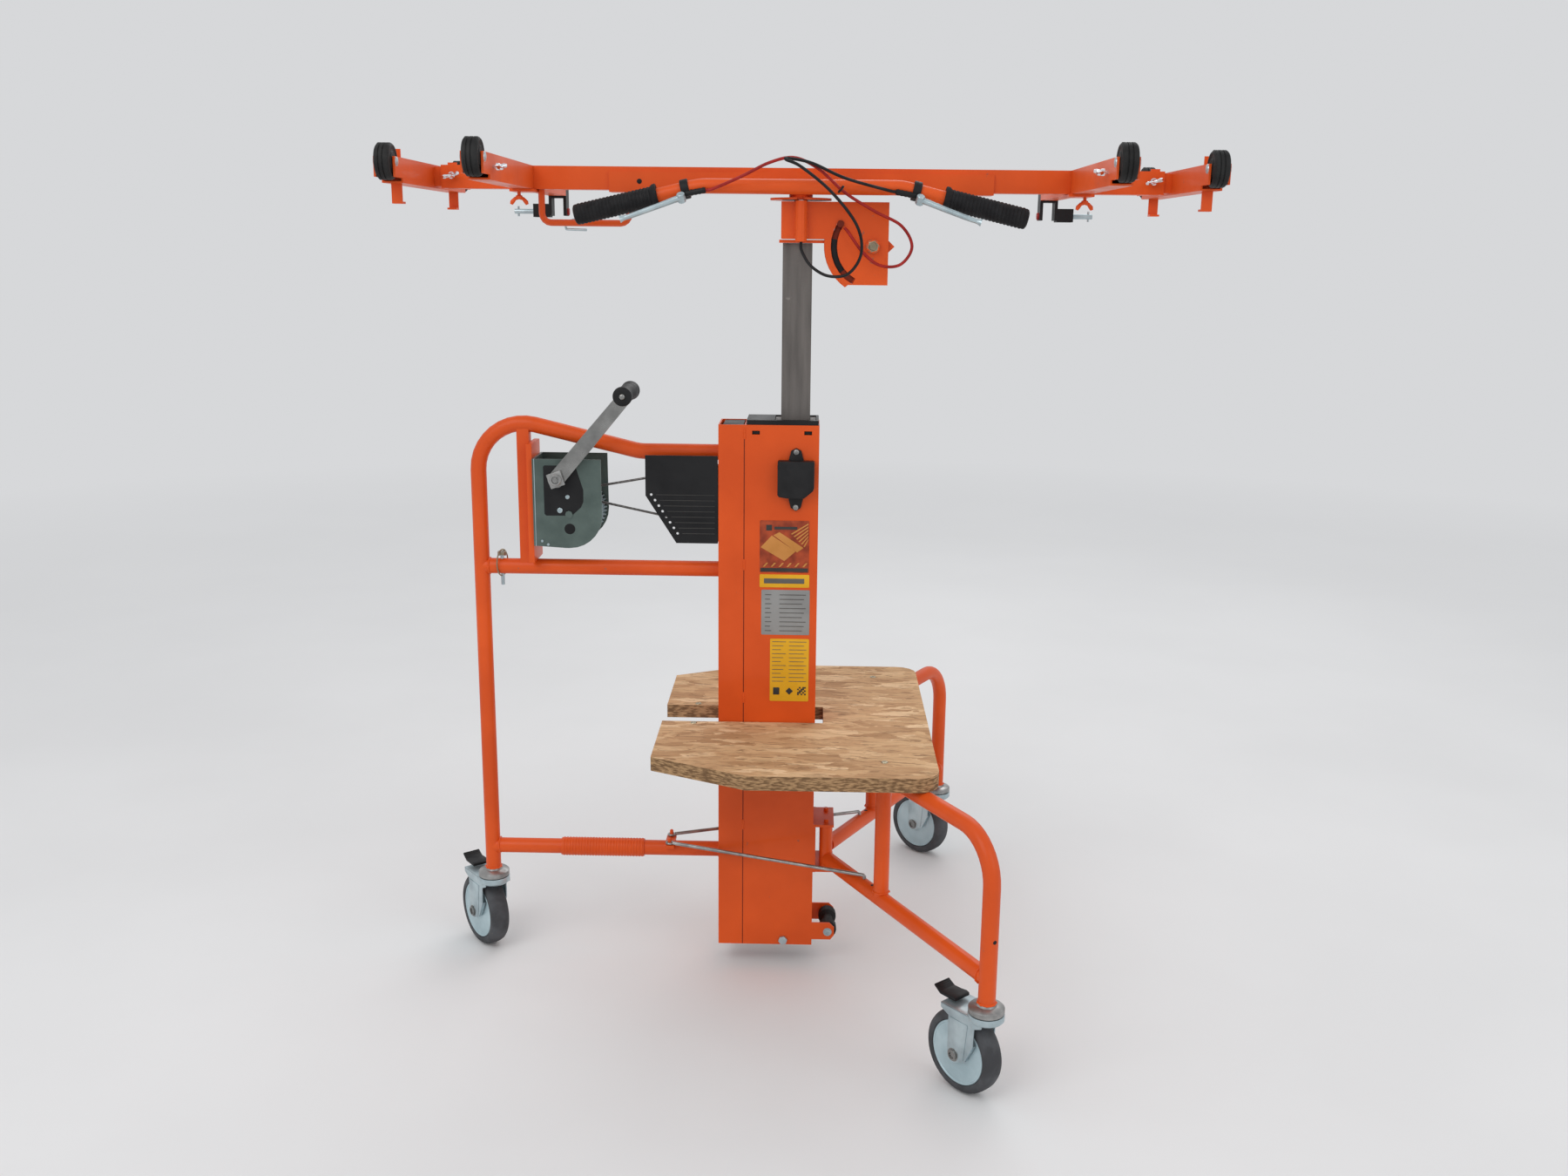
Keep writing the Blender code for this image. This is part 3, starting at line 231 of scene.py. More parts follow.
def add_lathe(work, profile, start, direction, sides=40):
    """Turn a closed loop of (radius, height) points about a line."""
    place = Matrix.Translation(Vector(start)) @ turn_to(direction)
    rings = []
    for radius, height in profile:
        ring = []
        for i in range(sides):
            angle = math.tau * i / sides
            ring.append(work.verts.new(place @ Vector((radius * math.cos(angle), radius * math.sin(angle),
                                                       height))))
        rings.append(ring)
    for first, second in zip(rings, rings[1:] + rings[:1]):
        for i in range(sides):
            j = (i + 1) % sides
            work.faces.new((first[i], first[j], second[j], second[i]))


def add_tube(work, points, radius, sides=20, caps=True):
    """Sweep a circle along a path; radius is one value or one for each point."""
    points = [Vector(point) for point in points]
    radii = radius if isinstance(radius, list) else [radius] * len(points)
    tangents = []
    for i in range(len(points)):
        before = points[max(i - 1, 0)]
        after = points[min(i + 1, len(points) - 1)]
        tangents.append((after - before).normalized())
    side = tangents[0].orthogonal().normalized()
    rings = []
    for i, point in enumerate(points):
        if i:
            side = tangents[i - 1].rotation_difference(tangents[i]) @ side
        side = (side - tangents[i] * side.dot(tangents[i])).normalized()
        other = tangents[i].cross(side)
        ring = []
        for k in range(sides):
            angle = math.tau * k / sides
            offset = (side * math.cos(angle) + other * math.sin(angle)) * radii[i]
            ring.append(work.verts.new(point + offset))
        rings.append(ring)
    for first, second in zip(rings, rings[1:]):
        for k in range(sides):
            j = (k + 1) % sides
            work.faces.new((first[k], first[j], second[j], second[k]))
    if caps:
        work.faces.new(list(reversed(rings[0])))
        work.faces.new(rings[-1])


def add_bead(work, centre, axis, radius, size=0.0016, sides=28):
    """A rough weld bead round a tube."""
    centre = Vector(centre)
    axis = Vector(axis).normalized()
    side = axis.orthogonal().normalized()
    other = axis.cross(side)
    path = []
    for i in range(sides + 1):
        angle = math.tau * i / sides
        wobble = radius + 0.0004 * math.sin(i * 2.4)
        path.append(centre + (side * math.cos(angle) + other * math.sin(angle)) * wobble)
    radii = [size * (1.0 + 0.22 * math.sin(i * 1.9)) for i in range(sides + 1)]
    radii[-1] = radii[0]
    add_tube(work, path, radii, 8, False)


def add_slab(work, outline, low, high, axis="Y", edge=0.0006):
    """An extruded outline with softened edges; the outline lies in XZ, XY or YZ."""
    own = bmesh.new()
    lower, upper = [], []
    for u, v in outline:
        for value, row in ((low, lower), (high, upper)):
            point = {"Y": (u, value, v), "Z": (u, v, value), "X": (value, u, v)}[axis]
            row.append(own.verts.new(point))
    own.faces.new(lower)
    own.faces.new(list(reversed(upper)))
    count = len(outline)
    for i in range(count):
        j = (i + 1) % count
        own.faces.new((lower[i], lower[j], upper[j], upper[i]))
    bmesh.ops.recalc_face_normals(own, faces=own.faces)
    if edge:
        sharp = [e for e in own.edges if e.calc_face_angle(0) > 0.5]
        bmesh.ops.bevel(own, geom=sharp, offset=edge, segments=2, affect="EDGES", profile=0.6)
    absorb(work, own)


def absorb(work, own):
    mesh = bpy.data.meshes.new("part")
    own.to_mesh(mesh)
    own.free()
    work.from_mesh(mesh)
    bpy.data.meshes.remove(mesh)


def add_side_slab(work, outline, side, near, far, edge):
    """A slab in XZ between two distances from the middle; side is -1 or 1."""
    low, high = sorted((side * near, side * far))
    add_slab(work, outline, low, high, "Y", edge)


def rectangle(left, right, low, high):
    return [(left, low), (right, low), (right, high), (left, high)]


def add_box(work, low, high, edge=0.0006):
    add_slab(work, rectangle(low[0], high[0], low[2], high[2]), low[1], high[1], "Y", edge)


def arc(x, z, radius, first, last, steps):
    """Points round a centre between two angles in degrees."""
    angles = [math.radians(first + (last - first) * i / steps) for i in range(steps + 1)]
    return [(x + radius * math.cos(angle), z + radius * math.sin(angle)) for angle in angles]


def circle(x, z, radius, count, start=0.0):
    return [(x + radius * math.cos(start + math.tau * i / count),
             z + radius * math.sin(start + math.tau * i / count)) for i in range(count)]


def rounded(points, radius, steps=10):
    path = [Vector(points[0])]
    for before, corner, after in zip(points, points[1:], points[2:]):
        corner = Vector(corner)
        back = (Vector(before) - corner).normalized()
        ahead = (Vector(after) - corner).normalized()
        half = back.angle(ahead) / 2
        reach = radius / math.tan(half)
        centre = corner + (back + ahead).normalized() * (radius / math.sin(half))
        first = corner + back * reach - centre
        last = corner + ahead * reach - centre
        sweep = first.angle(last)
        for i in range(steps + 1):
            share = i / steps
            side = first * math.sin((1 - share) * sweep) + last * math.sin(share * sweep)
            path.append(centre + side / math.sin(sweep))
    path.append(Vector(points[-1]))
    return path


def smooth_route(points, per_span):
    ends = [Vector(point) for point in points]
    ends = [2 * ends[0] - ends[1]] + ends + [2 * ends[-1] - ends[-2]]
    route = []
    for a, b, c, d in zip(ends, ends[1:], ends[2:], ends[3:]):
        for i in range(per_span):
            t = i / per_span
            route.append(0.5 * (2 * b + (c - a) * t + (2 * a - 5 * b + 4 * c - d) * t ** 2
                                + (3 * b - a - 3 * c + d) * t ** 3))
    route.append(ends[-2])
    return route


def keep(name, work, material, body, *nodes):
    piece = new_piece(name, work, material)
    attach(piece, body)
    if nodes:
        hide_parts(*nodes)


# ------------------------------------------------------------------ frame tubes
TUBE = 0.0125


def add_castor_head(work, x, y):
    add_lathe(work, [(0.0, 0.1380), (0.0240, 0.1380), (0.0258, 0.1392), (0.0258, 0.1462), (0.0240, 0.1478),
                     (0.0150, 0.1500), (0.0135, 0.1530), (0.0, 0.1530)], (x, y, 0), (0, 0, 1), 40)


def rear_frame():
    end = -0.0788
    work = bmesh.new()
    path = rounded([(-0.464, 0, 0.1506), (-0.464, 0, 0.9285), (-0.205, 0, 0.8665), (end, 0, 0.8665)], 0.075)
    add_tube(work, path, TUBE, 32)
    add_tube(work, [(-0.464, 0, 0.192), (-0.350, 0, 0.192), (-0.345, 0, 0.192)], TUBE, 32)
    add_tube(work, [(-0.207, 0, 0.192), (-0.15, 0, 0.192), (end, 0, 0.192)], TUBE, 32)
    add_tube(work, [(-0.464, 0, 0.677), (-0.27, 0, 0.677), (end, 0, 0.677)], TUBE, 32)
    add_box(work, (-0.400, -0.010, 0.680), (-0.380, 0.010, 0.902), 0.0018)
    add_box(work, (-0.3805, -0.035, 0.690), (-0.3715, 0.035, 0.880), 0.0010)
    add_box(work, (-0.170, -0.024, 0.200), (-0.154, 0.024, 0.2060), 0.0010)
    for side in (-1, 1):
        add_lathe(work, [(0, 0.2040), (0.003, 0.2040), (0.003, 0.2160), (0.0022, 0.2172), (0, 0.2172)],
                  (-0.162, side * 0.018, 0), (0, 0, 1), 16)
    for x, z in ((-0.4515, 0.192), (-0.4515, 0.677), (end - 0.0006, 0.192), (end - 0.0006, 0.677),
                 (end - 0.0006, 0.8665)):
        add_bead(work, (x, 0, z), (1, 0, 0), TUBE + 0.0002)
    add_bead(work, (-0.464, 0, 0.1535), (0, 0, 1), TUBE + 0.0002)
    keep("rear_frame_paint", work, ORANGE, "base", "rear_frame")
    tread = bmesh.new()
    profile = [(0.0125, -0.3462), (0.0146, -0.3462)]
    for i in range(28):
        x = -0.3440 + i * 0.0049
        profile += [(0.0148, x), (0.0156, x + 0.0009), (0.0156, x + 0.0028), (0.0148, x + 0.0037)]
    profile += [(0.0146, -0.2062), (0.0125, -0.2062)]
    add_lathe(tread, profile, (0, 0, 0.192), (1, 0, 0), 32)
    keep("foot_tread", tread, ORANGE, "base")


def leg_line(side):
    """A leg's hinge pin, its castor end and the direction between them."""
    pin = Vector((0.100, side * 0.025, 0))
    foot = Vector((0.324, side * 0.426, 0))
    return pin, foot, (foot - pin).normalized()


def leg(name, side):
    pin, foot, along = leg_line(side)
    reach = (foot - pin).length

    def at(distance, height):
        return Vector((pin.x + along.x * distance, pin.y + along.y * distance, height))

    work = bmesh.new()
    add_tube(work, rounded([at(0.145, 0.397), at(reach, 0.397), at(reach, 0.1506)], 0.070), TUBE, 32)
    add_tube(work, [at(0.008, 0.190), at(0.2, 0.190), at(reach, 0.190)], TUBE, 32)
    add_tube(work, [at(0.175, 0.190), at(0.175, 0.3), at(0.175, 0.397)], 0.0120, 28)
    add_lathe(work, [(0.0046, 0.1750), (0.0098, 0.1750), (0.0106, 0.1758), (0.0106, 0.2487),
                     (0.0098, 0.2495), (0.0046, 0.2495)], pin, (0, 0, 1), 28)
    add_bead(work, at(reach - 0.0125, 0.190), along, TUBE + 0.0002)
    add_bead(work, at(0.175, 0.2030), (0, 0, 1), 0.0122)
    add_bead(work, at(0.175, 0.3842), (0, 0, 1), 0.0122)
    add_bead(work, at(reach, 0.1535), (0, 0, 1), TUBE + 0.0002)
    keep("leg_%s_paint" % name, work, ORANGE, "leg_%s_body" % name, "leg_" + name)
    # painted shade: black discs sunk 1 mm into the tubes stand for the dark inside of two holes
    hole_shade = bmesh.new()
    up = Vector((0, 0, 1))
    for spot, normal in ((at(reach, 0.250) + along * (TUBE - 0.0001), along),
                         (at(0.150, 0.190) + up * (TUBE - 0.0001), up)):
        add_lathe(hole_shade, [(0, -0.0010), (0.0030, -0.0010), (0.0030, 0.0002), (0, 0.0002)], spot, normal, 20)
    keep("leg_%s_holes" % name, hole_shade, BLACK, "leg_%s_body" % name)


def stay(name, side):
    pin, _, along = leg_line(side)
    hook = pin + along * 0.125
    stud = Vector((-0.162, side * 0.018, 0.2090))
    tip = Vector((hook.x, hook.y, 0.2090))
    line = (tip - stud).normalized()
    work = bmesh.new()
    path = [stud + line * 0.0065, stud + line * 0.05, tip - line * 0.006, tip - line * 0.002,
            tip + Vector((0, 0, -0.0020)), tip + Vector((0, 0, -0.0055))]
    add_tube(work, path, 0.0028, 16)
    loop = []
    for i in range(25):
        angle = math.tau * i / 24
        loop.append(stud + Vector((math.cos(angle), math.sin(angle), 0)) * 0.0052)
    add_tube(work, loop, 0.0018, 10, False)
    keep("stay_%s_rod" % name, work, STEEL, "stay_%s_body" % name, "stay_" + name)


# ------------------------------------------------------------------ castors
TURNS = {"rear": (51.0, -0.464, 0.0), "near": (49.0, 0.324, -0.426), "far": (43.0, 0.324, 0.426)}
TRAIL, AXLE_Z = 0.038, 0.0625


def fork_cheek():
    """Outline of one side plate of a castor fork, rounded round the axle."""
    return ([(-0.0120, 0.1343), (-0.0120, 0.1240), (0.0010, 0.1180), (0.0020, 0.0890), (0.0160, 0.0600)]
            + arc(TRAIL, AXLE_Z, 0.0118, 240, 355, 8)
            + [(0.0502, 0.0700), (0.0502, 0.1195), (0.0655, 0.1262), (0.0655, 0.1343)])


def castor(name):
    turn, x, y = TURNS[name]
    place = Matrix.Translation((x, y, 0)) @ Matrix.Rotation(math.radians(180 - turn), 4, "Z")
    centre = place @ Vector((TRAIL, 0, AXLE_Z))
    axle = place.to_3x3() @ Vector((0, 1, 0))
    tyre = bmesh.new()
    half = [(0.0622, 0.003), (0.0618, 0.008), (0.0602, 0.0125), (0.0572, 0.0155), (0.0530, 0.0164),
            (0.0492, 0.0158), (0.0480, 0.0140), (0.0474, 0.0120)]
    add_lathe(tyre, [(r, -h) for r, h in reversed(half)] + half, centre, axle, 64)
    keep(name + "_tyre", tyre, TYRE, name + "_wheel_body", name + "_castor_wheel")
    disc = bmesh.new()
    half = [(0.0476, 0.0125), (0.0478, 0.0146), (0.0470, 0.0156), (0.0452, 0.0156), (0.0444, 0.0148),
            (0.0300, 0.0156), (0.0180, 0.0166), (0.0138, 0.0176), (0.0120, 0.0195), (0.0050, 0.0195)]
    add_lathe(disc, [(r, -h) for r, h in reversed(half)] + half, centre, axle, 64)
    keep(name + "_wheel_disc", disc, DISC, name + "_wheel_body")
    pedal = bmesh.new()
    shape = [(0.046, 0.1388), (0.076, 0.1388), (0.0885, 0.1478), (0.0872, 0.1502), (0.0750, 0.1432),
             (0.062, 0.1436), (0.052, 0.1450), (0.046, 0.1436)]
    add_slab(pedal, shape, -0.0150, 0.0150, "Y", 0.0012)
    for i in range(4):
        u = 0.0775 + i * 0.0026
        add_box(pedal, (u, -0.013, 0.1425 + i * 0.0017), (u + 0.0012, 0.013, 0.1448 + i * 0.0017), 0.0003)
    bmesh.ops.transform(pedal, matrix=place, verts=pedal.verts)
    keep(name + "_pedal_tread", pedal, BLACK, name + "_pedal_body", name + "_brake_pedal")
    head = bmesh.new()
    add_castor_head(head, x, y)
    keep(name + "_castor_head", head, STEEL, "base" if name == "rear" else "leg_%s_body" % name)
    fork = bmesh.new()
    nuts = bmesh.new()
    add_box(fork, (-0.0120, -0.0235, 0.1318), (0.0655, 0.0235, 0.1345), 0.0008)
    add_lathe(fork, [(0.0140, 0.1255), (0.0235, 0.1258), (0.0262, 0.1285), (0.0262, 0.1362), (0.0256, 0.1374),
                     (0.0140, 0.1377)], (0, 0, 0), (0, 0, 1), 48)
    for side in (-1, 1):
        add_side_slab(fork, fork_cheek(), side, 0.0216, 0.0235, 0.0006)
        add_side_slab(fork, [(0.0125, 0.1190), (0.0470, 0.1190), (0.0476, 0.0640), (0.0430, 0.0560),
                             (0.0330, 0.0550), (0.0185, 0.0610)], side, 0.0233, 0.0243, 0.0007)
        add_side_slab(fork, [(0.0020, 0.0890), (0.0160, 0.0600), (0.0176, 0.0608), (0.0036, 0.0898)],
                      side, 0.0174, 0.0220, 0.0004)
        add_lathe(nuts, [(0, 0.0001), (0.0098, 0.0001), (0.0098, 0.0012), (0.0080, 0.0014), (0.0078, 0.0034),
                         (0.0064, 0.0038), (0.0052, 0.0038), (0.0048, 0.0020), (0, 0.0020)],
                  (TRAIL, side * 0.0234, AXLE_Z), (0, side, 0), 28)
    bmesh.ops.transform(fork, matrix=place, verts=fork.verts)
    bmesh.ops.transform(nuts, matrix=place, verts=nuts.verts)
    keep(name + "_fork_plates", fork, ZINC, name + "_fork_body", name + "_castor_fork")
    keep(name + "_axle_nuts", nuts, CRANK_STEEL, name + "_fork_body")


# ------------------------------------------------------------------ mast details
def mast_details():
    work = bmesh.new()
    for z in (0.9085, 0.700, 0.480, 0.260):
        for i in range(6):
            add_lathe(work, [(0, 0), (0.0022, 0), (0.0016, 0.0009), (0, 0.0012)],
                      (-0.038 + 0.0006 * (i % 2), FACE_Y, z - i * 0.0028), (0, -1, 0), 10)
    keep("mast_seam_welds", work, ORANGE, "base")
    # painted shade: a flush strip of darkened orange stands for the shade in the seam gap of the housing
    seam = bmesh.new()
    for low, high in ((0.0385, 0.245), (0.262, 0.464), (0.482, 0.684), (0.702, 0.8925)):
        add_slab(seam, rectangle(-0.0387, -0.0374, low, high), FACE_Y - 0.0003, FACE_Y + 0.0002, "Y", 0.0001)
    keep("mast_seam", seam, SHADE_ORANGE, "base")
    bolts = bmesh.new()
    add_slab(bolts, circle(0.030, 0.0465, 0.0078, 6, 0.2), FACE_Y - 0.0046, FACE_Y, "Y", 0.0008)
    screws = bmesh.new()
    for x, y in ((-0.118, -0.05), (0.183, -0.221), (0.183, 0.221), (-0.118, 0.05)):
        add_lathe(screws, [(0, 0), (0.0054, 0), (0.0046, 0.0012), (0.0022, 0.0014), (0.0018, 0.0006),
                           (0, 0.0006)], (x, y, 0.432), (0, 0, 1), 20)
    keep("shelf_screws", screws, BRASS, "base")
    for side in (-1, 1):
        add_lathe(bolts, [(0, 0), (0.0072, 0), (0.0072, 0.0010), (0.0052, 0.0012), (0.0050, 0.0030),
                          (0.0040, 0.0036), (0.0030, 0.0036), (0.0026, 0.0022), (0, 0.0022)],
                  (0.105, side * 0.0394, 0.062), (0, side, 0), 24)
    keep("mast_bolts", bolts, ZINC, "base")
    # painted shadow: a black sheet just under the rim of the open rear bay stands for its dark inside
    shade = bmesh.new()
    add_box(shade, (-0.0718, -0.0375, 0.9128), (-0.0400, 0.0375, 0.9140), 0.0004)
    keep("bay_painted_shadow", shade, BLACK_STEEL, "base")
    # painted shadow: black sheets just behind the two slots in the housing face stand for the dark inside
    # seen through them
    dark = bmesh.new()
    for x in (-0.020, 0.061):
        add_slab(dark, rectangle(x - 0.0056, x + 0.0056, 0.9008, 0.9052), FACE_Y + 0.0020, FACE_Y + 0.0024,
                 "Y", 0.0001)
    keep("mast_slot_shadows", dark, BLACK, "base")


def label(name, left, right, low, high, material, lift=0.0):
    work = bmesh.new()
    corner = 0.0018
    outline = []
    for x, z, start in ((right - corner, high - corner, 0), (left + corner, high - corner, 90),
                        (left + corner, low + corner, 180), (right - corner, low + corner, 270)):
        outline += arc(x, z, corner, start, start + 90, 4)
    add_slab(work, outline, FACE_Y - 0.0004 - lift, FACE_Y - 0.0001 - lift, "Y", 0.0001)
    keep(name, work, material, "base")


def print_marks(name, material, outlines):
    """Flat printed shapes lying just over a label."""
    work = bmesh.new()
    for outline in outlines:
        add_slab(work, outline, FACE_Y - 0.0008, FACE_Y - 0.0005, "Y", 0.00005)
    keep(name, work, material, "base")


def bar(left, right, z, half):
    return rectangle(left, right, z - half, z + half)


def labels():
    label("label_picture", -0.013, 0.065, 0.681, 0.765, LABEL_RUST)
    label("label_strip", -0.013, 0.066, 0.657, 0.678, LABEL_YELLOW)
    label("label_grey", -0.010, 0.067, 0.579, 0.653, LABEL_GREY)
    label("label_yellow", 0.0045, 0.067, 0.468, 0.5725, LABEL_YELLOW)
    face = [(-0.0115, 0.722), (0.026, 0.700), (0.044, 0.716), (0.0060, 0.741)]
    end = [(0.046, 0.714), (0.056, 0.7215), (0.018, 0.7465), (0.0085, 0.7415)]
    print_marks("picture_box", LABEL_TAN, [face, end])
    print_marks("picture_ground", LABEL_DARK,
                [bar(-0.0115, 0.0635, 0.6855, 0.0030), rectangle(-0.003, 0.006, 0.7490, 0.7580),
                 bar(0.010, 0.046, 0.7530, 0.0022)])
    slats = []
    for i in range(6):
        u, v = -0.008 + i * 0.0125, 0.6905
        slats.append([(u, v), (u + 0.0030, v), (u + 0.0085, v + 0.0065), (u + 0.0055, v + 0.0065)])
        slats.append([(0.036 + i * 0.004, 0.7440 - i * 0.004), (0.038 + i * 0.004, 0.7428 - i * 0.004),
                      (0.0635, 0.7590 - i * 0.005), (0.0635, 0.7612 - i * 0.005)])
    print_marks("picture_slats", LABEL_TAN, slats)
    lines = []
    for i in range(9):
        z = 0.645 - i * 0.0074
        lines.append(bar(0.019, 0.061 - 0.003 * (i % 3), z, 0.0006))
        lines.append(bar(-0.004, 0.006 - 0.002 * (i % 2), z, 0.0006))
    for i in range(11):
        z = 0.5675 - i * 0.0066
        lines.append(bar(0.008, 0.030 - 0.004 * (i % 3), z, 0.0004))
        lines.append(bar(0.035, 0.063 - 0.004 * (i % 2), z, 0.0004))
    lines.append(bar(-0.006, 0.058, 0.6675, 0.0040))
    print_marks("label_lines", LABEL_DIM, lines)
    signs = [[(0.030, 0.485), (0.036, 0.479), (0.042, 0.485), (0.036, 0.491)],
             rectangle(0.010, 0.020, 0.479, 0.491)]
    for i in range(5):
        for j in range(5):
            if (i * 3 + j * 2) % 5 < 3:
                x, z = 0.049 + i * 0.0028, 0.4785 + j * 0.0028
                signs.append(rectangle(x, x + 0.0026, z, z + 0.0026))
    print_marks("label_signs", LABEL_DARK, signs)


def pulley_cover():
    work = bmesh.new()
    body = [(0.0144, 0.8085), (0.0162, 0.8050), (0.0300, 0.8030), (0.0560, 0.8030), (0.0700, 0.8150),
            (0.0716, 0.8200), (0.0716, 0.8595), (0.0702, 0.8610), (0.0158, 0.8610), (0.0144, 0.8595)]
    add_slab(work, body, FACE_Y - 0.0183, FACE_Y - 0.0003, "Y", 0.0016)
    tabs = [(0.0352, 0.786), (0.0430, 0.781), (0.0508, 0.786), (0.055, 0.803), (0.055, 0.860),
            (0.0508, 0.876), (0.0430, 0.880), (0.0352, 0.876), (0.031, 0.860), (0.031, 0.803)]
    add_slab(work, tabs, FACE_Y - 0.0044, FACE_Y - 0.0003, "Y", 0.0008)
    keep("pulley_cover_shell", work, BLACK, "base", "pulley_cover")
    screws = bmesh.new()
    for z in (0.874, 0.787):
        add_lathe(screws, [(0, 0), (0.0046, 0), (0.0040, 0.0016), (0.0020, 0.0022), (0.0016, 0.0012),
                           (0, 0.0012)], (0.043, FACE_Y - 0.0044, z), (0, -1, 0), 24)
    keep("pulley_cover_screws", screws, STEEL, "base")


# ------------------------------------------------------------------ winch
WINCH = Vector((-0.314, 0, 0.7702))
SHAFT = Vector((-0.3305, 0, 0.8279))
GRIP = Vector((-0.2117, 0, 0.968))


def rope():
    work = bmesh.new()
    for layer, radius in ((0, 0.0290), (1, 0.0330)):
        path = []
        for i in range(5 * 36 + 1):
            angle = math.tau * i / 36
            y = -0.0080 + 0.0160 * i / (5 * 36)
            if layer:
                y = -y
            path.append(WINCH + Vector((radius * math.sin(angle), y, radius * math.cos(angle))))
        add_tube(work, path, 0.0021, 8)
    add_tube(work, [(-0.309, 0, 0.8032), (-0.20, 0, 0.8228), (-0.0750, 0, 0.8455)], 0.0019, 12)
    add_tube(work, [(-0.288, 0, 0.7882), (-0.18, 0, 0.7655), (-0.0680, 0, 0.7420)], 0.0019, 12)
    keep("winch_rope_turns", work, WIRE, "base", "winch_rope")
    core = bmesh.new()
    add_lathe(core, [(0.0225, -0.0100), (0.0285, -0.0100), (0.0285, 0.0100), (0.0225, 0.0100)], WINCH,
              (0, 1, 0), 40)
    keep("winch_rope_core", core, WIRE, "base")


def crank():
    work = bmesh.new()
    line = GRIP - SHAFT
    angle = math.atan2(line.z, line.x)
    length = line.length
    turned = []
    for u, v in arc(0, 0, 0.0135, 110, 250, 8) + arc(length, 0, 0.0108, -90, 90, 8):
        turned.append((SHAFT.x + u * math.cos(angle) - v * math.sin(angle),
                       SHAFT.z + u * math.sin(angle) + v * math.cos(angle)))
    add_slab(work, turned, -0.0560, -0.0500, "Y", 0.0009)
    boss = bmesh.new()
    add_slab(boss, circle(SHAFT.x, SHAFT.z, 0.0168, 4, angle + 0.25), -0.0606, -0.0556, "Y", 0.0016)
    add_lathe(boss, [(0, 0), (0.0095, 0), (0.0095, 0.0026), (0.0084, 0.0036), (0.0058, 0.0036),
                     (0.0050, 0.0016), (0, 0.0016)], (SHAFT.x, -0.0606, SHAFT.z), (0, -1, 0), 32)
    keep("crank_boss", boss, STEEL, "crank_body")
    core = bmesh.new()
    add_slab(core, circle(SHAFT.x, SHAFT.z, 0.0042, 6, 0.2), -0.0644, -0.0618, "Y", 0.0005)
    keep("crank_bolt", core, CRANK_STEEL, "crank_body")
    add_lathe(work, [(0, 0.050), (0.0045, 0.050), (0.0042, 0.1598), (0.0042, 0.1612), (0.0036, 0.1620),
                     (0.0020, 0.1628), (0, 0.1630)], (GRIP.x, 0, GRIP.z), (0, -1, 0), 24)
    add_lathe(work, [(0, 0.0470), (0.0062, 0.0470), (0.0062, 0.0500), (0, 0.0500)], (GRIP.x, 0, GRIP.z),
              (0, -1, 0), 6)
    keep("crank_arm_bar", work, CRANK_STEEL, "crank_body", "crank_arm")
    grip = bmesh.new()
    profile = [(0.0048, 0.0572), (0.0125, 0.0572), (0.0143, 0.0590), (0.0145, 0.0620), (0.0132, 0.0660)]
    for i in range(12):
        y = 0.0690 + i * 0.0068
        profile += [(0.0124, y), (0.0130, y + 0.0014), (0.0130, y + 0.0044), (0.0124, y + 0.0056)]
    profile += [(0.0138, 0.1530), (0.0145, 0.1560), (0.0140, 0.1585), (0.0120, 0.1594), (0.0048, 0.1594)]
    add_lathe(grip, profile, (GRIP.x, 0, GRIP.z), (0, -1, 0), 40)
    keep("crank_grip_sleeve", grip, BLACK, "crank_grip_body", "crank_grip")


def winch_details():
    # painted shade: a flat black sheet on the winch face stands for the shade inside its recess and round
    # hole
    hollow_shade = bmesh.new()
    outline = [(-0.3532, 0.8455), (-0.3512, 0.8475), (-0.3040, 0.8475), (-0.3020, 0.8455), (-0.2908, 0.8091),
               (-0.2911, 0.7902), (-0.2950, 0.7815), (-0.3078, 0.7698), (-0.3140, 0.7682), (-0.3500, 0.7679),
               (-0.3528, 0.7705)]
    add_slab(hollow_shade, outline, -0.0404, -0.0399, "Y", 0.0002)
    add_slab(hollow_shade, circle(-0.3133, 0.7469, 0.0085, 24), -0.0404, -0.0399, "Y", 0.0001)
    keep("winch_hollow_shade", hollow_shade, BLACK_STEEL, "base")
    work = bmesh.new()
    for x, z, r in ((-0.3158, 0.7981, 0.0034), (-0.3282, 0.7765, 0.0042), (-0.3575, 0.7270, 0.0022),
                    (-0.3480, 0.7215, 0.0022)):
        add_lathe(work, [(0, 0), (r, 0), (r, 0.0012), (r * 0.8, 0.0018), (r * 0.5, 0.0018), (r * 0.4, 0.0010),
                         (0, 0.0010)], (x, -0.0402, z), (0, -1, 0), 24)
    add_slab(work, rectangle(-0.3680, -0.3668, 0.7188, 0.8577), -0.0406, -0.0380, "Y", 0.0003)
    keep("winch_fasteners", work, ZINC, "base")


# ------------------------------------------------------------------ table
BAR_RADIUS = 0.011


def bar_point(distance, side):
    slope = max(0.0, distance - 0.150) * 0.235
    return Vector((HEAD_X + side * distance, -0.060, 1.2705 - slope))


def lever_frame(side):
    along = (bar_point(0.332, side) - bar_point(0.212, side)).normalized()
    away = Vector((0, -0.85, -0.53))
    away = (away - along * away.dot(along)).normalized()
    return along, away, away.cross(along)


def clamp_points(side):
    along, away = lever_frame(side)[:2]
    root = bar_point(0.178, side) - along * 0.007 + away * 0.0135
    return root, root - along * 0.030 + away * 0.003


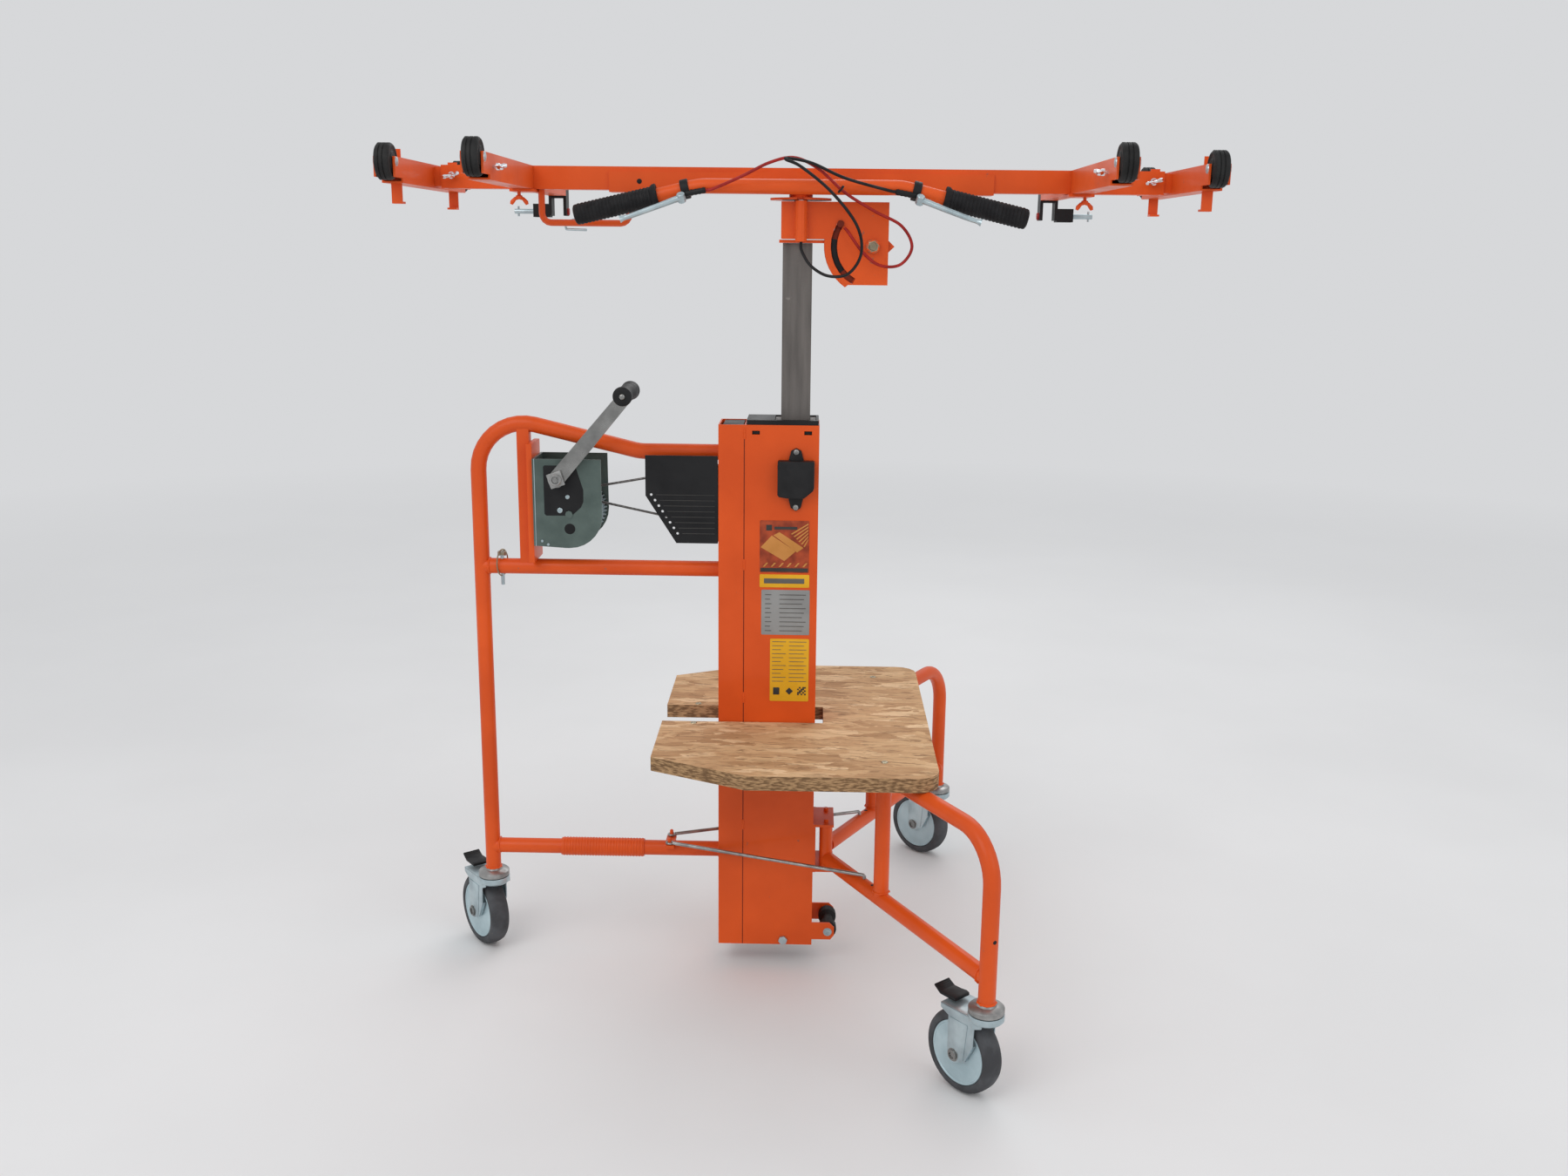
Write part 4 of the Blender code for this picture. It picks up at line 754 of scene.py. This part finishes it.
def handlebar():
    work = bmesh.new()
    path = rounded([bar_point(0.332, -1), bar_point(0.150, -1), bar_point(0.150, 1), bar_point(0.332, 1)],
                   0.10, 10)
    add_tube(work, path, BAR_RADIUS, 32)
    for side in (-1, 1):
        low, high = sorted((HEAD_X + side * 0.026, HEAD_X + side * 0.034))
        add_box(work, (low, -0.0560, 1.2640), (high, -0.0193, 1.2740), 0.0010)
        add_bead(work, ((low + high) / 2, -0.0500, 1.2690), (0, 1, 0), 0.0046, 0.0013)
    keep("handlebar_paint", work, ORANGE, "table", "handlebar")
    clamps = bmesh.new()
    for side in (-1, 1):
        along = lever_frame(side)[0]
        centre = bar_point(0.178, side)
        add_lathe(clamps, [(0.0111, -0.013), (0.0138, -0.013), (0.0146, -0.012), (0.0146, -0.002),
                           (0.0138, -0.001), (0.0111, -0.001)], centre, along, 32)
        root, end = clamp_points(side)
        step = (end - root) / 10
        radii = [0.0046 if i % 2 else 0.0040 for i in range(11)]
        add_tube(clamps, [root + step * i for i in range(11)], radii, 20)
    keep("lever_clamps", clamps, BLACK_STEEL, "table")


def grip(name, side):
    start = bar_point(0.212, side)
    line = (bar_point(0.332, side) - start).normalized()
    profile = [(0.0112, 0.0), (0.0172, 0.0), (0.0180, 0.0008), (0.0180, 0.0050), (0.0166, 0.0070)]
    for i in range(20):
        s = 0.0100 + i * 0.0056
        profile += [(0.0147, s), (0.0155, s + 0.0010), (0.0155, s + 0.0034), (0.0147, s + 0.0044)]
    profile += [(0.0150, 0.1235), (0.0142, 0.1260), (0.0110, 0.1278), (0.0, 0.1280), (0.0, 0.1205),
                (0.0112, 0.1205)]
    work = bmesh.new()
    add_lathe(work, profile, start, line, 40)
    keep("grip_%s_rubber" % name, work, FOAM, "table", "grip_" + name)


def lever(name, side):
    along, away, axis = lever_frame(side)
    root = bar_point(0.178, side)
    knots = [(-0.004, 0.0222), (0.010, 0.0235), (0.034, 0.0300), (0.075, 0.0400), (0.094, 0.0428)]
    route = smooth_route([root + along * s + away * d for s, d in knots], 6)
    count = len(route)
    radii = []
    for i in range(count):
        t = i / (count - 1)
        radii.append(0.0052 - 0.0018 * t + (0.0022 * math.exp(-((t - 1.0) / 0.05) ** 2)))
    work = bmesh.new()
    add_tube(work, route, radii, 20)
    pivot = root + away * 0.0222
    add_lathe(work, [(0, -0.0070), (0.0052, -0.0070), (0.0062, -0.0060), (0.0062, 0.0060),
                     (0.0052, 0.0070), (0, 0.0070)], pivot, axis, 24)
    keep("lever_%s_blade" % name, work, ZINC, "lever_%s_body" % name, "brake_lever_" + name)


RED_ROUTE = [(-0.040, -0.088, 1.284), (0.000, -0.092, 1.303), (0.036, -0.092, 1.310),
             (0.072, -0.090, 1.294), (0.110, -0.084, 1.262), (0.155, -0.072, 1.236),
             (0.195, -0.062, 1.216), (0.212, -0.056, 1.186), (0.196, -0.052, 1.160),
             (0.166, -0.050, 1.158), (0.140, -0.049, 1.176), (0.117, -0.044, 1.206)]
BLACK_ROUTE = [(0.110, -0.092, 1.282), (0.062, -0.098, 1.302), (0.030, -0.106, 1.308),
               (0.024, -0.114, 1.306), (0.046, -0.116, 1.296), (0.090, -0.104, 1.262),
               (0.128, -0.086, 1.216), (0.136, -0.074, 1.176), (0.118, -0.064, 1.146),
               (0.088, -0.056, 1.142), (0.062, -0.048, 1.156), (0.0475, -0.0425, 1.178)]


def cable(name, side, route, last, material, node):
    end = clamp_points(side)[1]
    along, away = lever_frame(side)[:2]
    inward = -along * 0.995 + away * 0.1
    points = smooth_route([end + inward * 0.0002, end + inward * 0.012] + route + [last], 12)
    work = bmesh.new()
    add_tube(work, points, 0.0023, 12)
    piece = new_piece(name, work, material)
    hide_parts(node)
    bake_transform(piece)


def cable_tie():
    work = bmesh.new()
    add_lathe(work, [(0.0052, -0.0013), (0.0064, -0.0013), (0.0064, 0.0013), (0.0052, 0.0013)],
              (0.104, -0.0895, 1.2665), (0.75, 0.1, -0.6), 24)
    keep("cable_tie", work, BLACK, "table")


WHEEL_Z, OUTER_Y, INNER_Y = 1.293, 0.214, -0.344


def board_wheel(name, x, y, body, node):
    work = bmesh.new()
    profile = [(0.0038, -0.0110), (0.0125, -0.0110), (0.0140, -0.0098), (0.0185, -0.0098),
               (0.0205, -0.0108), (0.0222, -0.0106), (0.0240, -0.0090)]
    for i in range(3):
        y0 = -0.0082 + i * 0.0058
        profile += [(0.0250, y0), (0.0250, y0 + 0.0036), (0.0238, y0 + 0.0042), (0.0238, y0 + 0.0053)]
    profile = profile[:-2]
    profile += [(0.0240, 0.0090), (0.0222, 0.0106), (0.0205, 0.0108), (0.0185, 0.0098), (0.0140, 0.0098),
                (0.0125, 0.0110), (0.0038, 0.0110)]
    add_lathe(work, profile, (x, y, WHEEL_Z), (1, 0, 0), 48)
    keep(name + "_tread", work, PAD_RUBBER, body, node)


def wing_screw(work, centre, direction, spread, size=1.0):
    """A threaded stem, a collar and two wings."""
    centre = Vector(centre)
    direction = Vector(direction).normalized()
    spread = Vector(spread).normalized()
    add_lathe(work, [(0, -0.004 * size), (0.0026 * size, -0.004 * size), (0.0026 * size, 0.004 * size),
                     (0.0052 * size, 0.005 * size), (0.0052 * size, 0.009 * size),
                     (0.0040 * size, 0.0105 * size), (0, 0.0105 * size)], centre, direction, 20)
    for sign in (-1, 1):
        base = centre + direction * 0.0075 * size
        path = [base, base + (spread * sign * 0.006 + direction * 0.002) * size,
                base + (spread * sign * 0.0105 + direction * 0.007) * size,
                base + (spread * sign * 0.0120 + direction * 0.0105) * size]
        add_tube(work, path, [0.0030 * size, 0.0027 * size, 0.0034 * size, 0.0022 * size], 12)


AXLE_END = [(0, 0), (0.0064, 0), (0.0058, 0.0012), (0.0030, 0.0018), (0, 0.0018)]


def table_details(name, side):
    outer_x = HEAD_X + side * 0.571
    inner_x = HEAD_X + side * 0.420
    for spot, sign in (("near", -1), ("far", 1)):
        board_wheel("outer_wheel_%s_%s" % (name, spot), outer_x, sign * OUTER_Y, "wheel_%s_%s" % (name, spot),
                    "outer_wheel_%s_%s" % (name, spot))
    board_wheel("inner_wheel_" + name, inner_x, INNER_Y, "inner_wheel_%s_body" % name, "inner_wheel_" + name)
    screws = bmesh.new()
    wing_screw(screws, (HEAD_X + side * 0.527, -0.0158, 1.284), (0, -1, 0), (1, 0, 0.25))
    wing_screw(screws, (inner_x - side * 0.0152, -0.296, 1.283), (-side, 0, 0), (0, 1, 0.2), 0.9)
    keep("wing_screws_" + name, screws, CHROME, "table")
    paint = bmesh.new()
    wing_screw(paint, (inner_x + side * 0.008, -0.012, 1.2606), (0, 0, -1), (1, 0.2, 0), 1.0)
    keep("clamp_screw_" + name, paint, ORANGE, "table")
    ends = bmesh.new()
    for sign in (-1, 1):
        for offset in (-1, 1):
            x = outer_x + offset * 0.0150
            add_lathe(ends, AXLE_END, (x, sign * OUTER_Y, WHEEL_Z), (offset, 0, 0), 24)
    keep("outer_axle_heads_" + name, ends, ZINC, "slide_" + name)
    inner_ends = bmesh.new()
    for offset in (-1, 1):
        add_lathe(inner_ends, AXLE_END, (inner_x + offset * 0.0150, INNER_Y, WHEEL_Z), (offset, 0, 0), 24)
    rod = bmesh.new()
    start = inner_x + side * 0.034
    add_tube(rod, [(start, 0.291, 1.2395), (start + side * 0.020, 0.291, 1.2395),
                   (inner_x + side * 0.0765, 0.291, 1.2395)], 0.0042, 16)
    add_tube(rod, [(inner_x + side * 0.070, 0.291, 1.2310), (inner_x + side * 0.070, 0.291, 1.2395),
                   (inner_x + side * 0.070, 0.291, 1.2480)], 0.0018, 10)
    if side < 0:
        add_tube(rod, rounded([(-0.311, 0.300, 1.2268), (-0.352, 0.300, 1.2268), (-0.3641, 0.290, 1.2156),
                               (-0.3594, 0.270, 1.2099), (-0.3236, 0.262, 1.2090)], 0.004, 4), 0.0022, 10)
    absorb(inner_ends, rod)
    keep("inner_axle_heads_" + name, inner_ends, ZINC, "table")
    bushes = bmesh.new()
    for offset in (-0.0152, 0.0365):
        add_lathe(bushes, [(0, -0.0030), (0.0055, -0.0030), (0.0062, -0.0020), (0.0062, 0.0020),
                           (0.0055, 0.0030), (0, 0.0030)], (inner_x + side * offset, 0.291, 1.2395),
                  (1, 0, 0), 24)
    keep("catch_bushes_" + name, bushes, RED, "table")
    if side < 0:
        # painted shadow: a black disc on the beam face stands for the dark inside of a hole
        dot = bmesh.new()
        add_slab(dot, circle(HEAD_X - 0.244, 1.2780, 0.0038, 20), -0.0194, -0.0189, "Y", 0.0001)
        keep("channel_hole_shadow", dot, BLACK, "table")


PIVOT_X, PIVOT_Z = 0.1547, 1.1858


def slot_band(first, last):
    """The arc slot about the tilt pivot between two angles in degrees."""
    return arc(PIVOT_X, PIVOT_Z, 0.0632, first, last, 14) + arc(PIVOT_X, PIVOT_Z, 0.0545, last, first, 14)


def head_details():
    # painted shade: dark orange bands and a black core inside the tilt slots stand for the shade and the dark
    # gap seen through the slots
    slot_shade = bmesh.new()
    core = bmesh.new()
    bolt = bmesh.new()
    for side in (-1, 1):
        add_side_slab(slot_shade, slot_band(146, 240), side, 0.0290, 0.0297, 0.0001)
        add_side_slab(core, slot_band(170, 219), side, 0.0296, 0.0299, 0.0001)
        add_lathe(bolt, [(0, 0.0341), (0.0100, 0.0341), (0.0100, 0.0350), (0.0060, 0.0352), (0, 0.0352)],
                  (PIVOT_X, 0, PIVOT_Z), (0, side, 0), 32)
        add_side_slab(bolt, circle(PIVOT_X, PIVOT_Z, 0.0090, 6, 0.25), side, 0.0350, 0.0426, 0.0010)
        add_lathe(bolt, [(0, 0.0420), (0.0062, 0.0420), (0.0062, 0.0430), (0.0050, 0.0440), (0, 0.0440)],
                  (PIVOT_X, 0, PIVOT_Z), (0, side, 0), 24)
    keep("slot_painted_shade", slot_shade, SHADE_ORANGE, "tilt_head")
    keep("slot_shadow_core", core, BLACK_STEEL, "tilt_head")
    keep("tilt_bolt_heads", bolt, BRASS, "inner_section")
    beads = bmesh.new()
    for u in (0.0372, 0.0548):
        path = [(u + 0.0004 * math.sin(i * 1.7), -0.0350, 1.1965 + i * 0.0023) for i in range(24)]
        add_tube(beads, path, [0.0013 + 0.0004 * math.sin(i * 2.3) for i in range(24)], 8)
    keep("tilt_frame_welds", beads, ORANGE, "tilt_head")
    pin = bmesh.new()
    loop = []
    for i in range(37):
        angle = math.tau * i / 36
        across = 0.0175 * math.sin(angle)
        loop.append((-0.431 + across * 0.30, across * 0.95, 0.6825 + 0.0215 * math.cos(angle)))
    add_tube(pin, loop, 0.0011, 8, False)
    add_lathe(pin, [(0, 0.6950), (0.0064, 0.6950), (0.0072, 0.6960), (0.0072, 0.7000), (0.0060, 0.7014),
                    (0, 0.7014)], (-0.431, 0, 0), (0, 0, 1), 24)
    keep("lock_pin_ring", pin, BRASS, "lock_pin_body")
    ribs = bmesh.new()
    for i in range(8):
        share = i / 7
        x = -0.184 + 0.041 * share + 0.0075
        z = 0.8035 - 0.0615 * share
        add_slab(ribs, bar(x, -0.0840, z, 0.0006), -0.0404, -0.0399, "Y", 0.0001)
    keep("guard_ribs", ribs, LABEL_DARK, "base")


# ------------------------------------------------------------------ CAD finishes
FINISHES = {
    ORANGE: ("mast_housing", "rear_frame", "leg_near", "leg_far", "head_bracket", "tilt_frame",
             "table_channel", "table_beam", "handlebar", "extension_left", "extension_right",
             "inner_arm_left", "inner_arm_right", "edge_stop_left_near", "edge_stop_left_far",
             "edge_stop_right_near", "edge_stop_right_far"),
    MAST_GREY: ("mast_mid", "mast_inner"),
    BLACK_STEEL: ("guard_plate", "mast_top_guide", "board_catch_left", "board_catch_right"),
    BLACK: ("pulley_cover", "crank_grip", "rear_brake_pedal", "near_brake_pedal", "far_brake_pedal",
            "swivel_cable", "rope_pulley"),
    FOAM: ("grip_left", "grip_right"),
    WINCH_ZINC: ("winch_frame",),
    ZINC: ("lock_pin", "rear_castor_fork", "near_castor_fork",
           "far_castor_fork", "winch_drum", "winch_shaft", "crank_arm", "swivel_plunger"),
    # the tilt latch takes the painted shade orange because it sits in the shade of its slot
    SHADE_ORANGE: ("tilt_latch",),
    STEEL: ("brake_lever_left", "brake_lever_right", "stay_near", "stay_far"),
    WIRE: ("winch_rope",),
    TYRE: ("rear_castor_wheel", "near_castor_wheel", "far_castor_wheel"),
    PAD_RUBBER: ("outer_wheel_left_near", "outer_wheel_left_far", "outer_wheel_right_near",
                 "outer_wheel_right_far", "inner_wheel_left", "inner_wheel_right", "skid_rollers"),
    WOOD: ("shelf_board",),
    RED: ("tilt_cable",),
}
SOFT_EDGES = {"mast_housing": 0.0012, "table_beam": 0.0012, "extension_left": 0.0010,
              "extension_right": 0.0010, "inner_arm_left": 0.0010, "inner_arm_right": 0.0010,
              "shelf_board": 0.0010, "tilt_frame": 0.0006, "table_channel": 0.0006, "winch_frame": 0.0006,
              "guard_plate": 0.0003, "mast_top_guide": 0.0010, "mast_inner": 0.0010, "mast_mid": 0.0008,
              "board_catch_left": 0.0010, "board_catch_right": 0.0010, "head_bracket": 0.0005}


def dress_frame():
    for material, names in FINISHES.items():
        for name in names:
            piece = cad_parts[name]
            piece.data.materials.clear()
            piece.data.materials.append(material)
            piece.data.shade_smooth()
            piece.data.set_sharp_from_angle(angle=math.radians(40))
    for name, width in SOFT_EDGES.items():
        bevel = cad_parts[name].modifiers.new("soft_edges", "BEVEL")
        bevel.width = width
        bevel.segments = 2
        bevel.limit_method = "ANGLE"
        bevel.angle_limit = math.radians(50)
        bevel.harden_normals = True


# ------------------------------------------------------------------ stage
BACKDROP = (0.97, 0.98, 1.0, 1)
BACKDROP_STRENGTH = 0.70
EYE = Vector((0.0663, -2.267, 1.1816))
LENS = 33.04
PITCH, ROLL, YAW = 0.2317, 0.0104, -0.0181


def stage():
    floor_mesh = bpy.data.meshes.new("floor")
    floor_mesh.from_pydata([(-60, -60, 0), (60, -60, 0), (60, 60, 0), (-60, 60, 0)], [], [(0, 1, 2, 3)])
    floor = bpy.data.objects.new("floor", floor_mesh)
    bpy.context.scene.collection.objects.link(floor)
    material, tree, shader, place = shader_tree("pale_floor")
    shade = blend_colour(tree, remap(tree, noise(tree, place, 1.5), 0.0, 1.0), (0.80, 0.80, 0.80),
                         (0.77, 0.77, 0.77))
    tree.links.new(shade, shader.inputs["Base Color"])
    shader.inputs["Roughness"].default_value = 0.75
    shader.inputs["Specular IOR Level"].default_value = 0.2
    backdrop = tree.nodes.new("ShaderNodeEmission")
    backdrop.inputs["Color"].default_value = BACKDROP
    backdrop.inputs["Strength"].default_value = BACKDROP_STRENGTH
    reach = tree.nodes.new("ShaderNodeVectorMath")
    reach.operation = "LENGTH"
    tree.links.new(place, reach.inputs[0])
    fade = tree.nodes.new("ShaderNodeMixShader")
    tree.links.new(remap(tree, reach.outputs["Value"], 0.0, 1.0, 1.6, 6.0), fade.inputs["Fac"])
    tree.links.new(shader.outputs["BSDF"], fade.inputs[1])
    tree.links.new(backdrop.outputs["Emission"], fade.inputs[2])
    tree.links.new(fade.outputs["Shader"], tree.nodes["Material Output"].inputs["Surface"])
    floor_mesh.materials.append(material)
    for name, spot, power, size in (("key", (-1.6, -2.4, 3.0), 34, 2.2), ("fill", (2.4, -2.2, 2.2), 16, 2.2),
                                    ("back", (0.8, 2.6, 3.0), 26, 2.4)):
        data = bpy.data.lights.new(name, "AREA")
        data.energy = power
        data.size = size
        lamp = bpy.data.objects.new(name, data)
        lamp.location = spot
        lamp.rotation_euler = (Vector((0, 0, 0.75)) - Vector(spot)).to_track_quat("-Z", "Y").to_euler()
        bpy.context.scene.collection.objects.link(lamp)
    world = bpy.data.worlds.new("studio")
    world.use_nodes = True
    sky = world.node_tree.nodes["Background"]
    sky.inputs["Color"].default_value = BACKDROP
    sky.inputs["Strength"].default_value = BACKDROP_STRENGTH
    bpy.context.scene.world = world


def camera():
    forward = Vector((math.sin(YAW) * math.cos(PITCH), math.cos(YAW) * math.cos(PITCH), -math.sin(PITCH)))
    right = Vector((math.cos(YAW), -math.sin(YAW), 0))
    down = forward.cross(right)
    column_x = right * math.cos(ROLL) - down * math.sin(ROLL)
    column_y = -(down * math.cos(ROLL) + right * math.sin(ROLL))
    data = bpy.data.cameras.new("camera")
    data.sensor_width = 36.0
    data.lens = LENS
    eye = bpy.data.objects.new("camera", data)
    basis = Matrix((column_x, column_y, -forward)).transposed().to_4x4()
    eye.matrix_world = Matrix.Translation(EYE + SHIFT) @ basis
    bpy.context.scene.collection.objects.link(eye)
    bpy.context.scene.camera = eye
    bpy.context.scene.view_settings.view_transform = "Standard"


def main():
    dress_frame()
    rear_frame()
    for name, side in (("near", -1), ("far", 1)):
        leg(name, side)
        stay(name, side)
    for name in TURNS:
        castor(name)
    mast_details()
    labels()
    pulley_cover()
    rope()
    crank()
    winch_details()
    handlebar()
    for name, side in (("left", -1), ("right", 1)):
        grip(name, side)
        lever(name, side)
        table_details(name, side)
    cable("red_cable", -1, RED_ROUTE, (0.1115, -0.0410, 1.2125), RED, "tilt_cable")
    cable("black_cable", 1, BLACK_ROUTE, (0.046, -0.0422, 1.1915), BLACK, "swivel_cable")
    cable_tie()
    head_details()
    stage()
    camera()


main()
